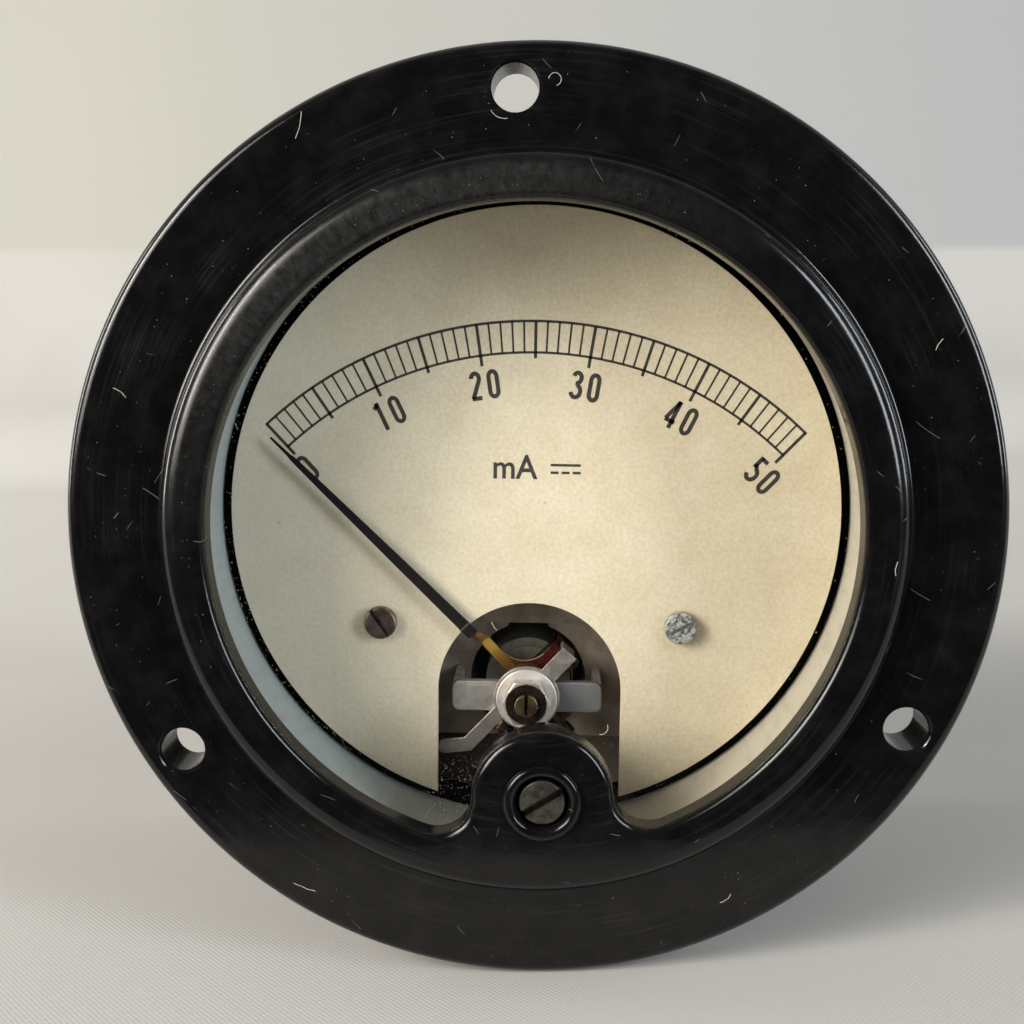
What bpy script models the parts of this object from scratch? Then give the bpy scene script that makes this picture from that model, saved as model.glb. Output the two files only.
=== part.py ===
"""Round panel-mounting moving-coil milliammeter, at real size in metres.

Every piece is laid out in the meter's own axes: x to the right and y up as the dial is read, and z out of the front,
with zero on the panel seat, the back face of the flange. One empty stands those axes up, so that in the world +Z is
up and the dial faces -Y. A second empty turns the dial and the movement as the photographed ones are turned inside
their cover, a third stands on the pivot, and a fourth turns with the pointer.
"""

import math

import bmesh
import bpy
from mathutils import Matrix, Vector

# Fits
STACK_GAP = 0.00015  # between pieces clamped together
SEAT_GAP = 0.0003  # between a piece and what it sits in
OVERRUN = 0.001  # how far a cutter runs past the face it opens
OVERLAP = 0.0001  # how far a piece sinks into the one it is made in one with

# Facets
LARGE_STEPS = 60
MEDIUM_STEPS = 30
SMALL_STEPS = 16
CORNER_STEPS = 3
SHARP_ANGLE = math.radians(35.0)
OUTLINE_SCALE = 1000.0  # outlines are filled this much larger, since the fill welds points 0.03 mm apart
FILL_TURN = Matrix.Rotation(math.radians(7.0), 3, "Z")  # and turned, since it can miss points on one level

# Front cover
OPENING_RADIUS = 0.0299
BEZEL_WIDTH = 0.0044
BEZEL_HEIGHT = 0.00295
LIP_ROUNDING = 0.00085
BEZEL_WALL = 0.00095
BEZEL_FILLET = 0.0007
FLANGE_WIDTH = 0.0095
FLANGE_THICKNESS = 0.0054
FLANGE_ROUNDING = 0.0012
FLANGE_BACK_ROUNDING = 0.0004
MOUNT_HOLE_RADIUS = 0.0021
MOUNT_HOLE_INSET = 0.0041
MOUNT_HOLE_RIM = 0.00025
MOUNT_HOLE_ANGLES = (90.0, 210.0, 330.0)
LIP_THICKNESS = 0.00275
LIP_OVERHANG = 0.0018
SKIRT_WALL = 0.0012
SKIRT_PAST_LINER = 0.0015

# Boss for the zero screw
BOSS_INSET = 0.0050
BOSS_RADIUS = 0.0067
BOSS_FILLET = 0.0034
STEM_RADIUS = 0.0049
STEM_BACK = -0.0005
BEAD_INNER_RADIUS = 0.0026
BEAD_WIDTH = 0.0011
BEAD_HEIGHT = 0.00055
RECESS_MARGIN = 0.00035

# Zero screw
ZERO_HEAD_RADIUS = 0.00215
ZERO_HEAD_DEPTH = 0.00285
ZERO_SHAFT_RADIUS = 0.0014
ZERO_SHAFT_BACK = -0.0035
ZERO_SLOT_WIDTH = 0.00068
ZERO_SLOT_DEPTH = 0.0009
ZERO_SLOT_ANGLE = 30.0
ZERO_PIN_OFFSET = 0.0009
ZERO_PIN_RADIUS = 0.00045
ZERO_PIN_PAST_LEVER = 0.0005
CLIP_THICKNESS = 0.0005
CLIP_WIDTH = 0.0015

# Window, liner and dial
GLASS_THICKNESS = 0.0024
GLASS_TO_DIAL = 0.00735
LINER_THICKNESS = 0.0004
LINER_PAST_DIAL = 0.0012
DIAL_MARGIN = 0.0011
DIAL_THICKNESS = 0.0008
DIAL_TURN = -2.9
DIAL_SHIFT = -0.00025
ARCH_RADIUS = 0.0094
ARCH_ABOVE_PIVOT = 0.00102
DIAL_SCREW_SPREAD = 0.0152
DIAL_SCREW_ABOVE_PIVOT = 0.00827
DIAL_SCREW_HEAD_RADIUS = 0.00165
DIAL_SCREW_HEAD = 0.0009
DIAL_SCREW_RADIUS = 0.0008
DIAL_SCREW_LENGTH = 0.0048
DIAL_SCREW_SLOT_ANGLES = (-55.0, 28.0)
SLOT_WIDTH_SHARE = 0.22
SLOT_DEPTH_SHARE = 0.55

# Pivot, seen from the boss
PIVOT_SHIFT = -0.00053
PIVOT_ABOVE_BOSS = 0.00565

# Bridges, jewel screws and nuts
BRIDGE_BEHIND_DIAL = 0.00185
BRIDGE_THICKNESS = 0.0010
BRIDGE_HEIGHT = 0.0032
BRIDGE_CORNER = 0.0008
LEG_THICKNESS = 0.0010
LEG_SET_BACK = 0.00057
REAR_LEG_SET_BACK = 0.0008
JEWEL_RADIUS = 0.0012
JEWEL_PROUD = 0.0007
JEWEL_PAST_BRIDGE = 0.0010
JEWEL_SLOT_WIDTH = 0.0003
JEWEL_SLOT_DEPTH = 0.0006
NUT_FLATS = 0.0044
NUT_THICKNESS = 0.0016
NUT_CHAMFER_RADIUS = 0.0021
WASHER_RADIUS = 0.00315
WASHER_THICKNESS = 0.0003

# Zero lever and rear spring arm
LEVER_THICKNESS = 0.0004
LEVER_HUB_RADIUS = 0.0034
TAIL_WIDTH = 0.0015
TAIL_POINTS = ((-0.0020, -0.0007), (-0.0061, -0.0051), (-0.0085, -0.0054))
FORK_WIDTH = 0.0028
FORK_SIDE_CLEARANCE = 0.0002
FORK_PAST_PIN = 0.0009
SPRING_ARM_WIDTH = 0.00183
SPRING_ARM_ANGLE = 42.0
REAR_ARM_TAIL = 0.0072

# Hairsprings
HAIRSPRING_TURNS = 6
HAIRSPRING_POINTS_PER_TURN = 9
HAIRSPRING_INNER_RADIUS = 0.0015
HAIRSPRING_OUTER_RADIUS = 0.0058
HAIRSPRING_WIRE_RADIUS = 0.00011
HAIRSPRING_TO_ARMS = 0.0006

# Moving coil and its pivots
PIVOT_RADIUS = 0.0005
PIVOT_TIP = 0.0006
COLLET_RADIUS = 0.0011
COLLET_THICKNESS = 0.0009
PIVOT_FOOT_RADIUS = 0.0013
PIVOT_FOOT = 0.0005
FORMER_THICKNESS = 0.0003
FORMER_WIDTH = 0.0030
WINDING_THICKNESS = 0.00045
WINDING_WIDTH = 0.0026
WINDING_ROUNDING = 0.0002
COIL_ROUNDING = 0.0007
COIL_SIDE_CLEARANCE = 0.0004
COIL_END_CLEARANCE = 0.0005

# Balance arms and weights
ARM_THICKNESS = 0.0004
ARM_WIDTH = 0.0005
ARM_HUB_RADIUS = 0.0015
SIDE_ARM_ANGLE = 104.0
SIDE_ARM_LEG_CLEARANCE = 0.0004
TAIL_ARM_REACH = 0.0072
WEIGHT_RADIUS = 0.00064
WEIGHT_BORE = 0.00038
WEIGHT_LENGTH = 0.0013

# Pointer
POINTER_REST = -43.54
POINTER_TIP_INSET = 0.0032
POINTER_LIFT = 0.00095
BLADE_THICKNESS = 0.0003
BLADE_WIDTH = 0.00098
BLADE_TIP_WIDTH = 0.0002
NEEDLE_LENGTH = 0.0030
BLADE_ROOT_INSIDE_ARCH = 0.0001
BLADE_ROOT_OFFSET = 0.00108
ROOT_WIDTH = 0.00105
ROOT_THICKNESS = 0.0004
ROOT_SLOPE = 0.0016
ROOT_FLAT_OFFSET = 0.0003
ROOT_FOOT = 0.0013
ROOT_TAIL = 0.0016

# Core, pole shoes and magnet
CORE_RADIUS = 0.0046
CORE_LENGTH = 0.0096
CORE_FACE_RADIUS = 0.00375
CORE_FACE_STEP = 0.0003
BORE_CLEARANCE = 0.00025
SHOE_PROUD = 0.0002
SHOE_EDGE = 0.0001
HORN_HALF_GAP = 0.0022
MAGNET_TO_CASE = 0.0033
MAGNET_WIDTH = 0.0105
MAGNET_THICKNESS = 0.0090
MAGNET_MOUTH_ANGLE = 39.0
BRACKET_WIDTH = 0.0030
BRACKET_THICKNESS = 0.0010
BRACKET_FOOT = 0.0030

# Movement plate and base plate
PLATE_PROUD = 0.0011
PLATE_THICKNESS = 0.0016
PLATE_HEIGHT = 0.0087
PLATE_CORNER = 0.0012
POST_RADIUS = 0.00165
YOKE_SCREW_INSET = 0.0035
YOKE_SCREW_RADIUS = 0.00125
YOKE_SCREW_HEAD_RADIUS = 0.0022
YOKE_SCREW_HEAD = 0.0014
BASE_PLATE_THICKNESS = 0.0016
BASE_PLATE_DROP = 0.0080
BASE_PLATE_FOOT_HALF_LENGTH = 0.0115
BASE_PLATE_SHOULDER = 0.0020
BASE_PLATE_PAST_COLUMNS = 0.0065

# Rear case
CASE_SEAT_DEPTH = 0.0006
CASE_MOUTH_WALL = 0.0011
CASE_WALL = 0.0022
CASE_FLOOR = 0.0026
CASE_ROUNDING = 0.0025
COLUMN_RADIUS = 0.0036
COLUMN_HEIGHT = 0.0112
COLUMN_SPREAD = 0.0120
COLUMN_BELOW_CENTRE = 0.0097
MOVEMENT_SCREW_RADIUS = 0.0014
MOVEMENT_SCREW_HEAD_RADIUS = 0.0027
MOVEMENT_SCREW_HEAD = 0.0012
CASE_SCREW_ANGLES = (30.0, 150.0, 270.0)
CASE_SCREW_DEPTH = 0.0040
CASE_SCREW_RADIUS = 0.0009
CASE_SCREW_HEAD_RADIUS = 0.0018

# Terminals
TERMINAL_SPREAD = 0.0127
STUD_RADIUS = 0.0024
STUD_LENGTH = 0.0204
STUD_INSIDE = 0.0006
STUD_CHAMFER = 0.0004
PAD_RADIUS = 0.0062
PAD_HEIGHT = 0.0010
TERMINAL_WASHER_RADIUS = 0.0050
TERMINAL_WASHER_THICKNESS = 0.0008
TERMINAL_NUT_FLATS = 0.0080
TERMINAL_NUT_THICKNESS = 0.0030
INNER_NUT_THICKNESS = 0.0024
LUG_RADIUS = 0.0040
LUG_THICKNESS = 0.0005
LUG_TAIL = 0.0080
LUG_TAIL_WIDTH = 0.0030

# Shunt and leads
BOBBIN_RADIUS = 0.0035
BOBBIN_CORE_RADIUS = 0.0016
BOBBIN_FLANGE = 0.0010
BOBBIN_HEIGHT = 0.0090
BOBBIN_ABOVE_CENTRE = 0.0120
SHUNT_WINDING_RADIUS = 0.0031
LEAD_RADIUS = 0.0005
LEAD_RISE = 0.0026
LEAD_END_ASIDE = 0.0045
LEAD_END_PAST_COLUMNS = 0.0035

# Levels along z, from the front of the cover back
BEZEL_FACE = FLANGE_THICKNESS + BEZEL_HEIGHT
LIP_BACK = BEZEL_FACE - LIP_THICKNESS
GLASS_FRONT = LIP_BACK - STACK_GAP
GLASS_BACK = GLASS_FRONT - GLASS_THICKNESS
LINER_FRONT = GLASS_BACK - STACK_GAP
DIAL_FRONT = GLASS_BACK - GLASS_TO_DIAL
DIAL_BACK = DIAL_FRONT - DIAL_THICKNESS
LINER_BACK = DIAL_FRONT - LINER_PAST_DIAL
SKIRT_BACK = LINER_BACK - SKIRT_PAST_LINER
BLADE_BACK = DIAL_FRONT + POINTER_LIFT
BRIDGE_FRONT = DIAL_FRONT - BRIDGE_BEHIND_DIAL
BRIDGE_BACK = BRIDGE_FRONT - BRIDGE_THICKNESS
LEVER_BACK = BRIDGE_FRONT + STACK_GAP
LEVER_FRONT = LEVER_BACK + LEVER_THICKNESS
WASHER_BACK = LEVER_FRONT + STACK_GAP
WASHER_FRONT = WASHER_BACK + WASHER_THICKNESS
NUT_BACK = WASHER_FRONT + STACK_GAP
NUT_FRONT = NUT_BACK + NUT_THICKNESS
JEWEL_FRONT = NUT_FRONT + JEWEL_PROUD
JEWEL_BACK = BRIDGE_BACK - JEWEL_PAST_BRIDGE
COLLET_FRONT = JEWEL_BACK - STACK_GAP - PIVOT_TIP / 2
COLLET_BACK = COLLET_FRONT - COLLET_THICKNESS
ARMS_FRONT = COLLET_BACK
HAIRSPRING_LEVEL = ARMS_FRONT + HAIRSPRING_TO_ARMS
ARMS_BACK = ARMS_FRONT - ARM_THICKNESS
ROOT_FRONT = ARMS_BACK - STACK_GAP
ROOT_BACK = ROOT_FRONT - ROOT_THICKNESS
FOOT_FRONT = ROOT_BACK - STACK_GAP
FOOT_BACK = FOOT_FRONT - PIVOT_FOOT
WINDING_FRONT = FOOT_BACK - STACK_GAP
FORMER_FRONT = WINDING_FRONT - WINDING_THICKNESS - STACK_GAP
CORE_FRONT = FORMER_FRONT - FORMER_THICKNESS - COIL_END_CLEARANCE
CORE_BACK = CORE_FRONT - CORE_LENGTH
FORMER_BACK = CORE_BACK - COIL_END_CLEARANCE - FORMER_THICKNESS
WINDING_BACK = FORMER_BACK - STACK_GAP - WINDING_THICKNESS
SHOE_FRONT = CORE_FRONT - SHOE_PROUD
SHOE_BACK = CORE_BACK
PLATE_FRONT = SHOE_FRONT + PLATE_PROUD
PLATE_BACK = PLATE_FRONT - PLATE_THICKNESS
MAGNET_FRONT = PLATE_BACK - STACK_GAP
MAGNET_BACK = MAGNET_FRONT - MAGNET_THICKNESS
BASE_FRONT = min(MAGNET_BACK, SHOE_BACK) - STACK_GAP
BASE_BACK = BASE_FRONT - BASE_PLATE_THICKNESS
REAR_FOOT_FRONT = WINDING_BACK - STACK_GAP
REAR_FOOT_BACK = REAR_FOOT_FRONT - PIVOT_FOOT
REAR_COLLET_BACK = REAR_FOOT_BACK - COLLET_THICKNESS
REAR_HAIRSPRING_LEVEL = REAR_FOOT_BACK - HAIRSPRING_TO_ARMS
REAR_JEWEL_FRONT = REAR_COLLET_BACK - PIVOT_TIP / 2 - STACK_GAP
REAR_BRIDGE_FRONT = REAR_JEWEL_FRONT - JEWEL_PAST_BRIDGE
REAR_BRIDGE_BACK = REAR_BRIDGE_FRONT - BRIDGE_THICKNESS
REAR_ARM_FRONT = REAR_BRIDGE_BACK - STACK_GAP
REAR_ARM_BACK = REAR_ARM_FRONT - LEVER_THICKNESS
REAR_NUT_FRONT = REAR_ARM_BACK - STACK_GAP
REAR_NUT_BACK = REAR_NUT_FRONT - NUT_THICKNESS
REAR_JEWEL_BACK = REAR_NUT_BACK - JEWEL_PROUD
FLOOR_INSIDE = BASE_BACK - SEAT_GAP - COLUMN_HEIGHT
FLOOR_OUTSIDE = FLOOR_INSIDE - CASE_FLOOR
PAD_BACK = FLOOR_OUTSIDE - PAD_HEIGHT

# Radii and places
BEZEL_RADIUS = OPENING_RADIUS + BEZEL_WIDTH
FLANGE_RADIUS = BEZEL_RADIUS + FLANGE_WIDTH
LINER_RADIUS = OPENING_RADIUS + LIP_OVERHANG
POCKET_RADIUS = LINER_RADIUS + LINER_THICKNESS + SEAT_GAP
SKIRT_RADIUS = POCKET_RADIUS + SKIRT_WALL
CASE_MOUTH_RADIUS = SKIRT_RADIUS + SEAT_GAP
CASE_RADIUS = CASE_MOUTH_RADIUS + CASE_MOUTH_WALL
BOSS_DROP = OPENING_RADIUS - BOSS_INSET
DIAL_RADIUS = LINER_RADIUS - DIAL_MARGIN
FORMER_INNER_HALF = CORE_RADIUS + COIL_SIDE_CLEARANCE
WINDING_INNER_HALF = FORMER_INNER_HALF + FORMER_THICKNESS + STACK_GAP
WINDING_OUTER_HALF = WINDING_INNER_HALF + WINDING_THICKNESS
COIL_SWEEP_RADIUS = math.hypot(WINDING_OUTER_HALF, WINDING_WIDTH / 2)
SHOE_BORE_RADIUS = COIL_SWEEP_RADIUS + BORE_CLEARANCE
SHOE_HALF_HEIGHT = SHOE_BORE_RADIUS + SHOE_EDGE
LEG_INSIDE = SHOE_BORE_RADIUS + LEG_SET_BACK
REAR_LEG_INSIDE = SHOE_BORE_RADIUS + REAR_LEG_SET_BACK + SEAT_GAP
TAB_INSIDE = HAIRSPRING_OUTER_RADIUS + HAIRSPRING_WIRE_RADIUS + STACK_GAP
BLADE_ROOT = ARCH_RADIUS - BLADE_ROOT_INSIDE_ARCH
ROOT_FLAT = BLADE_ROOT - ROOT_SLOPE
MAGNET_OUTER_RADIUS = CASE_RADIUS - CASE_WALL - MAGNET_TO_CASE
MAGNET_INNER_RADIUS = MAGNET_OUTER_RADIUS - MAGNET_WIDTH
MAGNET_MIDDLE_RADIUS = (MAGNET_OUTER_RADIUS + MAGNET_INNER_RADIUS) / 2


def turned_point(x, y, degrees):
    angle = math.radians(degrees)
    return (x * math.cos(angle) - y * math.sin(angle), x * math.sin(angle) + y * math.cos(angle))


BOSS_IN_DIAL = turned_point(0.0, -BOSS_DROP, -DIAL_TURN)
PIVOT = (PIVOT_SHIFT, BOSS_IN_DIAL[1] + PIVOT_ABOVE_BOSS)
FORK_DIRECTION = Vector((BOSS_IN_DIAL[0] - PIVOT[0], BOSS_IN_DIAL[1] - PIVOT[1]))
PIN_REACH = FORK_DIRECTION.length + ZERO_PIN_OFFSET
FORK_DIRECTION.normalize()
POINTER_DIRECTION = Vector(turned_point(0.0, 1.0, -POINTER_REST))
POINTER_TIP_RADIUS = DIAL_RADIUS - POINTER_TIP_INSET
PIVOT_ALONG_POINTER = POINTER_DIRECTION.dot(PIVOT)
POINTER_LENGTH = math.sqrt(
    POINTER_TIP_RADIUS**2 - Vector(PIVOT).length_squared + PIVOT_ALONG_POINTER**2
) - PIVOT_ALONG_POINTER
YOKE_SCREW_ABOVE_PIVOT = SHOE_HALF_HEIGHT + STACK_GAP + PLATE_HEIGHT / 2
YOKE_SCREW_SPREAD = math.sqrt(MAGNET_MIDDLE_RADIUS**2 - (PIVOT[1] + YOKE_SCREW_ABOVE_PIVOT) ** 2)
PLATE_HALF_LENGTH = YOKE_SCREW_SPREAD + YOKE_SCREW_INSET
COLUMN_ABOVE_PIVOT = -PIVOT[1] - COLUMN_BELOW_CENTRE
BASE_PLATE_RISE = COLUMN_ABOVE_PIVOT + BASE_PLATE_PAST_COLUMNS
DIAL_SCREW_PLACES = (
    (DIAL_SHIFT - DIAL_SCREW_SPREAD - PIVOT[0], DIAL_SCREW_ABOVE_PIVOT),
    (DIAL_SHIFT + DIAL_SCREW_SPREAD - PIVOT[0], DIAL_SCREW_ABOVE_PIVOT),
)


def clear_scene():
    for old in list(bpy.data.objects):
        bpy.data.objects.remove(old, do_unlink=True)


def new_collection(name):
    collection = bpy.data.collections.new(name)
    bpy.context.scene.collection.children.link(collection)
    return collection


clear_scene()
PARTS = new_collection("milliammeter")
CUTTERS = new_collection("cutters")


def material(name, colour, roughness, metallic=0.0, see_through=0.0):
    made = bpy.data.materials.new(name)
    made.use_nodes = True
    shader = made.node_tree.nodes["Principled BSDF"]
    shader.inputs["Base Color"].default_value = (*colour, 1.0)
    shader.inputs["Roughness"].default_value = roughness
    shader.inputs["Metallic"].default_value = metallic
    shader.inputs["Transmission Weight"].default_value = see_through
    made.diffuse_color = (*colour, 1.0 - 0.7 * see_through)
    return made


def smooth_by_angle():
    """A node group that shades a shape smooth except along its sharp edges, after its other modifiers."""
    group = bpy.data.node_groups.new("smooth_by_angle", "GeometryNodeTree")
    group.interface.new_socket("Geometry", in_out="INPUT", socket_type="NodeSocketGeometry")
    group.interface.new_socket("Geometry", in_out="OUTPUT", socket_type="NodeSocketGeometry")
    start = group.nodes.new("NodeGroupInput")
    angle = group.nodes.new("GeometryNodeInputMeshEdgeAngle")
    gentle = group.nodes.new("FunctionNodeCompare")
    gentle.operation = "LESS_THAN"
    gentle.inputs["B"].default_value = SHARP_ANGLE
    faces = group.nodes.new("GeometryNodeSetShadeSmooth")
    edges = group.nodes.new("GeometryNodeSetShadeSmooth")
    edges.domain = "EDGE"
    end = group.nodes.new("NodeGroupOutput")
    group.links.new(start.outputs[0], faces.inputs["Geometry"])
    group.links.new(faces.outputs[0], edges.inputs["Geometry"])
    group.links.new(angle.outputs["Unsigned Angle"], gentle.inputs["A"])
    group.links.new(gentle.outputs["Result"], edges.inputs["Shade Smooth"])
    group.links.new(edges.outputs[0], end.inputs[0])
    return group


SMOOTH = smooth_by_angle()


def new_object(name, data, parent, at=(0.0, 0.0, 0.0), turn=0.0):
    """An object under its parent's axes, turned about z by the given degrees."""
    made = bpy.data.objects.new(name, data)
    PARTS.objects.link(made)
    made.parent = parent
    made.location = at
    made.rotation_euler = (0.0, 0.0, math.radians(turn))
    return made


def finish(piece, look):
    """Gives a piece its material and its smooth shading, once its shape is complete."""
    piece.data.materials.clear()
    piece.data.materials.append(look)
    if piece.type == "MESH":
        piece.modifiers.new("smooth", "NODES").node_group = SMOOTH
    return piece


def combine(piece, other, operation):
    """A Boolean with another object, which then only helps: hidden from renders and drawn as wire."""
    modifier = piece.modifiers.new(other.name, "BOOLEAN")
    modifier.operation = operation
    modifier.object = other
    if other.name in PARTS.objects:
        PARTS.objects.unlink(other)
        CUTTERS.objects.link(other)
    other.hide_render = True
    other.display_type = "WIRE"


def cut(piece, *others):
    for other in others:
        combine(piece, other, "DIFFERENCE")
    return piece


def join(piece, *others):
    for other in others:
        combine(piece, other, "UNION")
    return piece


def arc(centre, radius, start, end, steps):
    """Points along an arc, its angles in degrees, both ends included."""
    angles = (math.radians(start + (end - start) * step / steps) for step in range(steps + 1))
    return [(centre[0] + radius * math.cos(a), centre[1] + radius * math.sin(a)) for a in angles]


def circle(centre, radius, steps):
    """Points round a circle, which start half a step round so that they miss the edges of spun shapes."""
    half_step = 180.0 / steps
    return arc(centre, radius, half_step, 360.0 + half_step, steps)[:-1]


def rounded_path(corners, closed=True, steps=CORNER_STEPS):
    """Points along straight runs whose corners (x, y, radius) are rounded by arcs."""
    points = []
    for index, (x, y, radius) in enumerate(corners):
        at_end = not closed and index in (0, len(corners) - 1)
        if radius == 0.0 or at_end:
            points.append((x, y))
            continue
        corner = Vector((x, y))
        before = (Vector(corners[index - 1][:2]) - corner).normalized()
        after = (Vector(corners[(index + 1) % len(corners)][:2]) - corner).normalized()
        half = before.angle(after) / 2
        centre = corner + (before + after).normalized() * radius / math.sin(half)
        spoke = corner + before * radius / math.tan(half) - centre
        sweep = math.pi - 2 * half
        if before.x * after.y - before.y * after.x > 0:
            sweep = -sweep
        for step in range(steps + 1):
            angle = sweep * step / steps
            turned_spoke = Matrix.Rotation(angle, 2) @ spoke
            points.append(tuple(centre + turned_spoke))
    return points


def strap_sides(points, width):
    """The right and left sides of a strap along straight runs that turn gently, both from its start."""
    runs = [(Vector(b) - Vector(a)).normalized() for a, b in zip(points, points[1:])]
    right, left = [], []
    for index, point in enumerate(points):
        before = runs[max(index - 1, 0)]
        after = runs[min(index, len(runs) - 1)]
        along = (before + after).normalized()
        side = Vector((-along.y, along.x)) * (width / 2 / along.dot(after))
        right.append(Vector(point) - side)
        left.append(Vector(point) + side)
    return right, left


def round_end(right, left):
    """Points of the half circle from one side of a strap's end to the other."""
    spoke = (right - left) / 2
    start = math.degrees(math.atan2(spoke.y, spoke.x))
    return arc((right + left) / 2, spoke.length, start, start + 180.0, 2 * CORNER_STEPS)


def strap(points, width):
    """The outline of a strap with round ends."""
    right, left = strap_sides(points, width)
    middle = right[1:-1]
    back = left[-2:0:-1]
    return [tuple(p) for p in [*middle, *round_end(right[-1], left[-1]), *back, *round_end(left[0], right[0])]]


def leave_hub(inside, outside, radius):
    """Where the straight run from a point inside a circle to one outside crosses it."""
    run = outside - inside
    middle = inside.dot(run) / run.length_squared
    reach = math.sqrt(middle**2 - (inside.length_squared - radius**2) / run.length_squared)
    return inside + run * (reach - middle)


def hub_with_limbs(radius, limbs):
    """The outline of a hub about the origin with limbs, each (points from inside the hub, width, round end)."""
    outline = []
    exits = []
    for points, width, rounded in limbs:
        right, left = strap_sides(points, width)
        right[0] = leave_hub(right[0], right[1], radius)
        left[0] = leave_hub(left[0], left[1], radius)
        end = round_end(right[-1], left[-1]) if rounded else [right[-1], left[-1]]
        limb = [*right[:-1], *end, *reversed(left[:-1])]
        exits.append((math.atan2(right[0].y, right[0].x), math.atan2(left[0].y, left[0].x), limb))
    exits.sort(key=lambda limb: limb[0])
    for index, (_, leaving, limb) in enumerate(exits):
        entering = exits[(index + 1) % len(exits)][0]
        while entering < leaving:
            entering += 2 * math.pi
        outline += limb
        outline += arc((0.0, 0.0), radius, math.degrees(leaving), math.degrees(entering), SMALL_STEPS // 2)[1:-1]
    return [tuple(point) for point in outline]


def mesh_object(name, shape, parent, at, turn):
    mesh = bpy.data.meshes.new(name)
    bmesh.ops.recalc_face_normals(shape, faces=shape.faces)
    shape.to_mesh(mesh)
    shape.free()
    return new_object(name, mesh, parent, at, turn)


def plate(name, loops, back, front, parent, at=(0.0, 0.0), turn=0.0, rounding=0.0, axes=None):
    """A flat outline, with any holes as further loops, extruded between two levels of z.

    With a rounding, its edges are rounded and the outline stays the outermost line. With axes, a matrix turns the
    extrusion before it is placed.
    """
    curve = bpy.data.curves.new(name, "CURVE")
    curve.dimensions = "2D"
    curve.fill_mode = "BOTH"
    curve.extrude = OUTLINE_SCALE * ((front - back) / 2 - rounding)
    curve.bevel_depth = OUTLINE_SCALE * rounding
    curve.bevel_resolution = 1 if rounding else 0
    curve.offset = -OUTLINE_SCALE * rounding
    for loop in loops:
        spline = curve.splines.new("POLY")
        spline.points.add(len(loop) - 1)
        spline.use_cyclic_u = True
        for point, (x, y) in zip(spline.points, loop):
            point.co = (*(OUTLINE_SCALE * FILL_TURN @ Vector((x, y, 0.0))), 1.0)
    outline = new_object(name, curve, None)
    graph = bpy.context.evaluated_depsgraph_get()
    filled = bpy.data.meshes.new_from_object(outline.evaluated_get(graph))
    shape = bmesh.new()
    shape.from_mesh(filled)
    bmesh.ops.remove_doubles(shape, verts=shape.verts, dist=OUTLINE_SCALE * OVERLAP / 100)
    undo = Matrix.Scale(1 / OUTLINE_SCALE, 4) @ FILL_TURN.inverted().to_4x4()
    bmesh.ops.transform(shape, verts=shape.verts, matrix=undo)
    middle = (front + back) / 2
    if axes:
        bmesh.ops.translate(shape, verts=shape.verts, vec=(0.0, 0.0, middle))
        bmesh.ops.transform(shape, verts=shape.verts, matrix=axes)
        middle = 0.0
    bpy.data.objects.remove(outline)
    bpy.data.curves.remove(curve)
    bpy.data.meshes.remove(filled)
    return mesh_object(name, shape, parent, (*at, middle), turn)


def side_plate(name, outline, width, parent, at=(0.0, 0.0), turn=0.0):
    """An outline in (y, z), extruded sideways by its width and centred on x = 0."""
    sideways = Matrix(((0, 0, 1, 0), (1, 0, 0, 0), (0, 1, 0, 0), (0, 0, 0, 1)))
    return plate(name, [outline], -width / 2, width / 2, parent, at, turn, axes=sideways)


def box(name, size, centre, parent, at=(0.0, 0.0, 0.0), turn=0.0):
    shape = bmesh.new()
    bmesh.ops.create_cube(shape, size=1.0)
    bmesh.ops.scale(shape, verts=shape.verts, vec=size)
    bmesh.ops.translate(shape, verts=shape.verts, vec=centre)
    return mesh_object(name, shape, parent, at, turn)


def cylinder(name, radius, back, front, parent, at=(0.0, 0.0), turn=0.0, steps=SMALL_STEPS):
    shape = bmesh.new()
    bmesh.ops.create_cone(
        shape, cap_ends=True, segments=steps, radius1=radius, radius2=radius, depth=front - back
    )
    return mesh_object(name, shape, parent, (*at, (front + back) / 2), turn)


def turned(name, profile, parent, at=(0.0, 0.0, 0.0), turn=0.0, steps=SMALL_STEPS, ring=False):
    """A profile of (radius, z), down its outer side from front to back, spun about z. A ring's profile is closed."""
    mesh = bpy.data.meshes.new(name)
    edges = [(i, i + 1) for i in range(len(profile) - 1)]
    if ring:
        edges.append((len(profile) - 1, 0))
    mesh.from_pydata([(radius, 0.0, z) for radius, z in profile], edges, [])
    made = new_object(name, mesh, parent, at, turn)
    spin = made.modifiers.new("spin", "SCREW")
    spin.axis = "Z"
    spin.steps = steps
    spin.render_steps = steps
    spin.use_merge_vertices = True
    spin.merge_threshold = OVERLAP / 100
    return made


def ring(name, inner, outer, back, front, parent, at=(0.0, 0.0), steps=SMALL_STEPS, turn=0.0):
    profile = [(inner, front), (outer, front), (outer, back), (inner, back)]
    return turned(name, profile, parent, (*at, 0.0), turn, steps, ring=True)


def tube(name, points, radius, parent, at=(0.0, 0.0, 0.0), resolution=2):
    curve = bpy.data.curves.new(name, "CURVE")
    curve.dimensions = "3D"
    curve.bevel_depth = radius
    curve.bevel_resolution = resolution
    curve.use_fill_caps = True
    spline = curve.splines.new("POLY")
    spline.points.add(len(points) - 1)
    for point, place in zip(spline.points, points):
        point.co = (*place, 1.0)
    return new_object(name, curve, parent, at)


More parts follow.
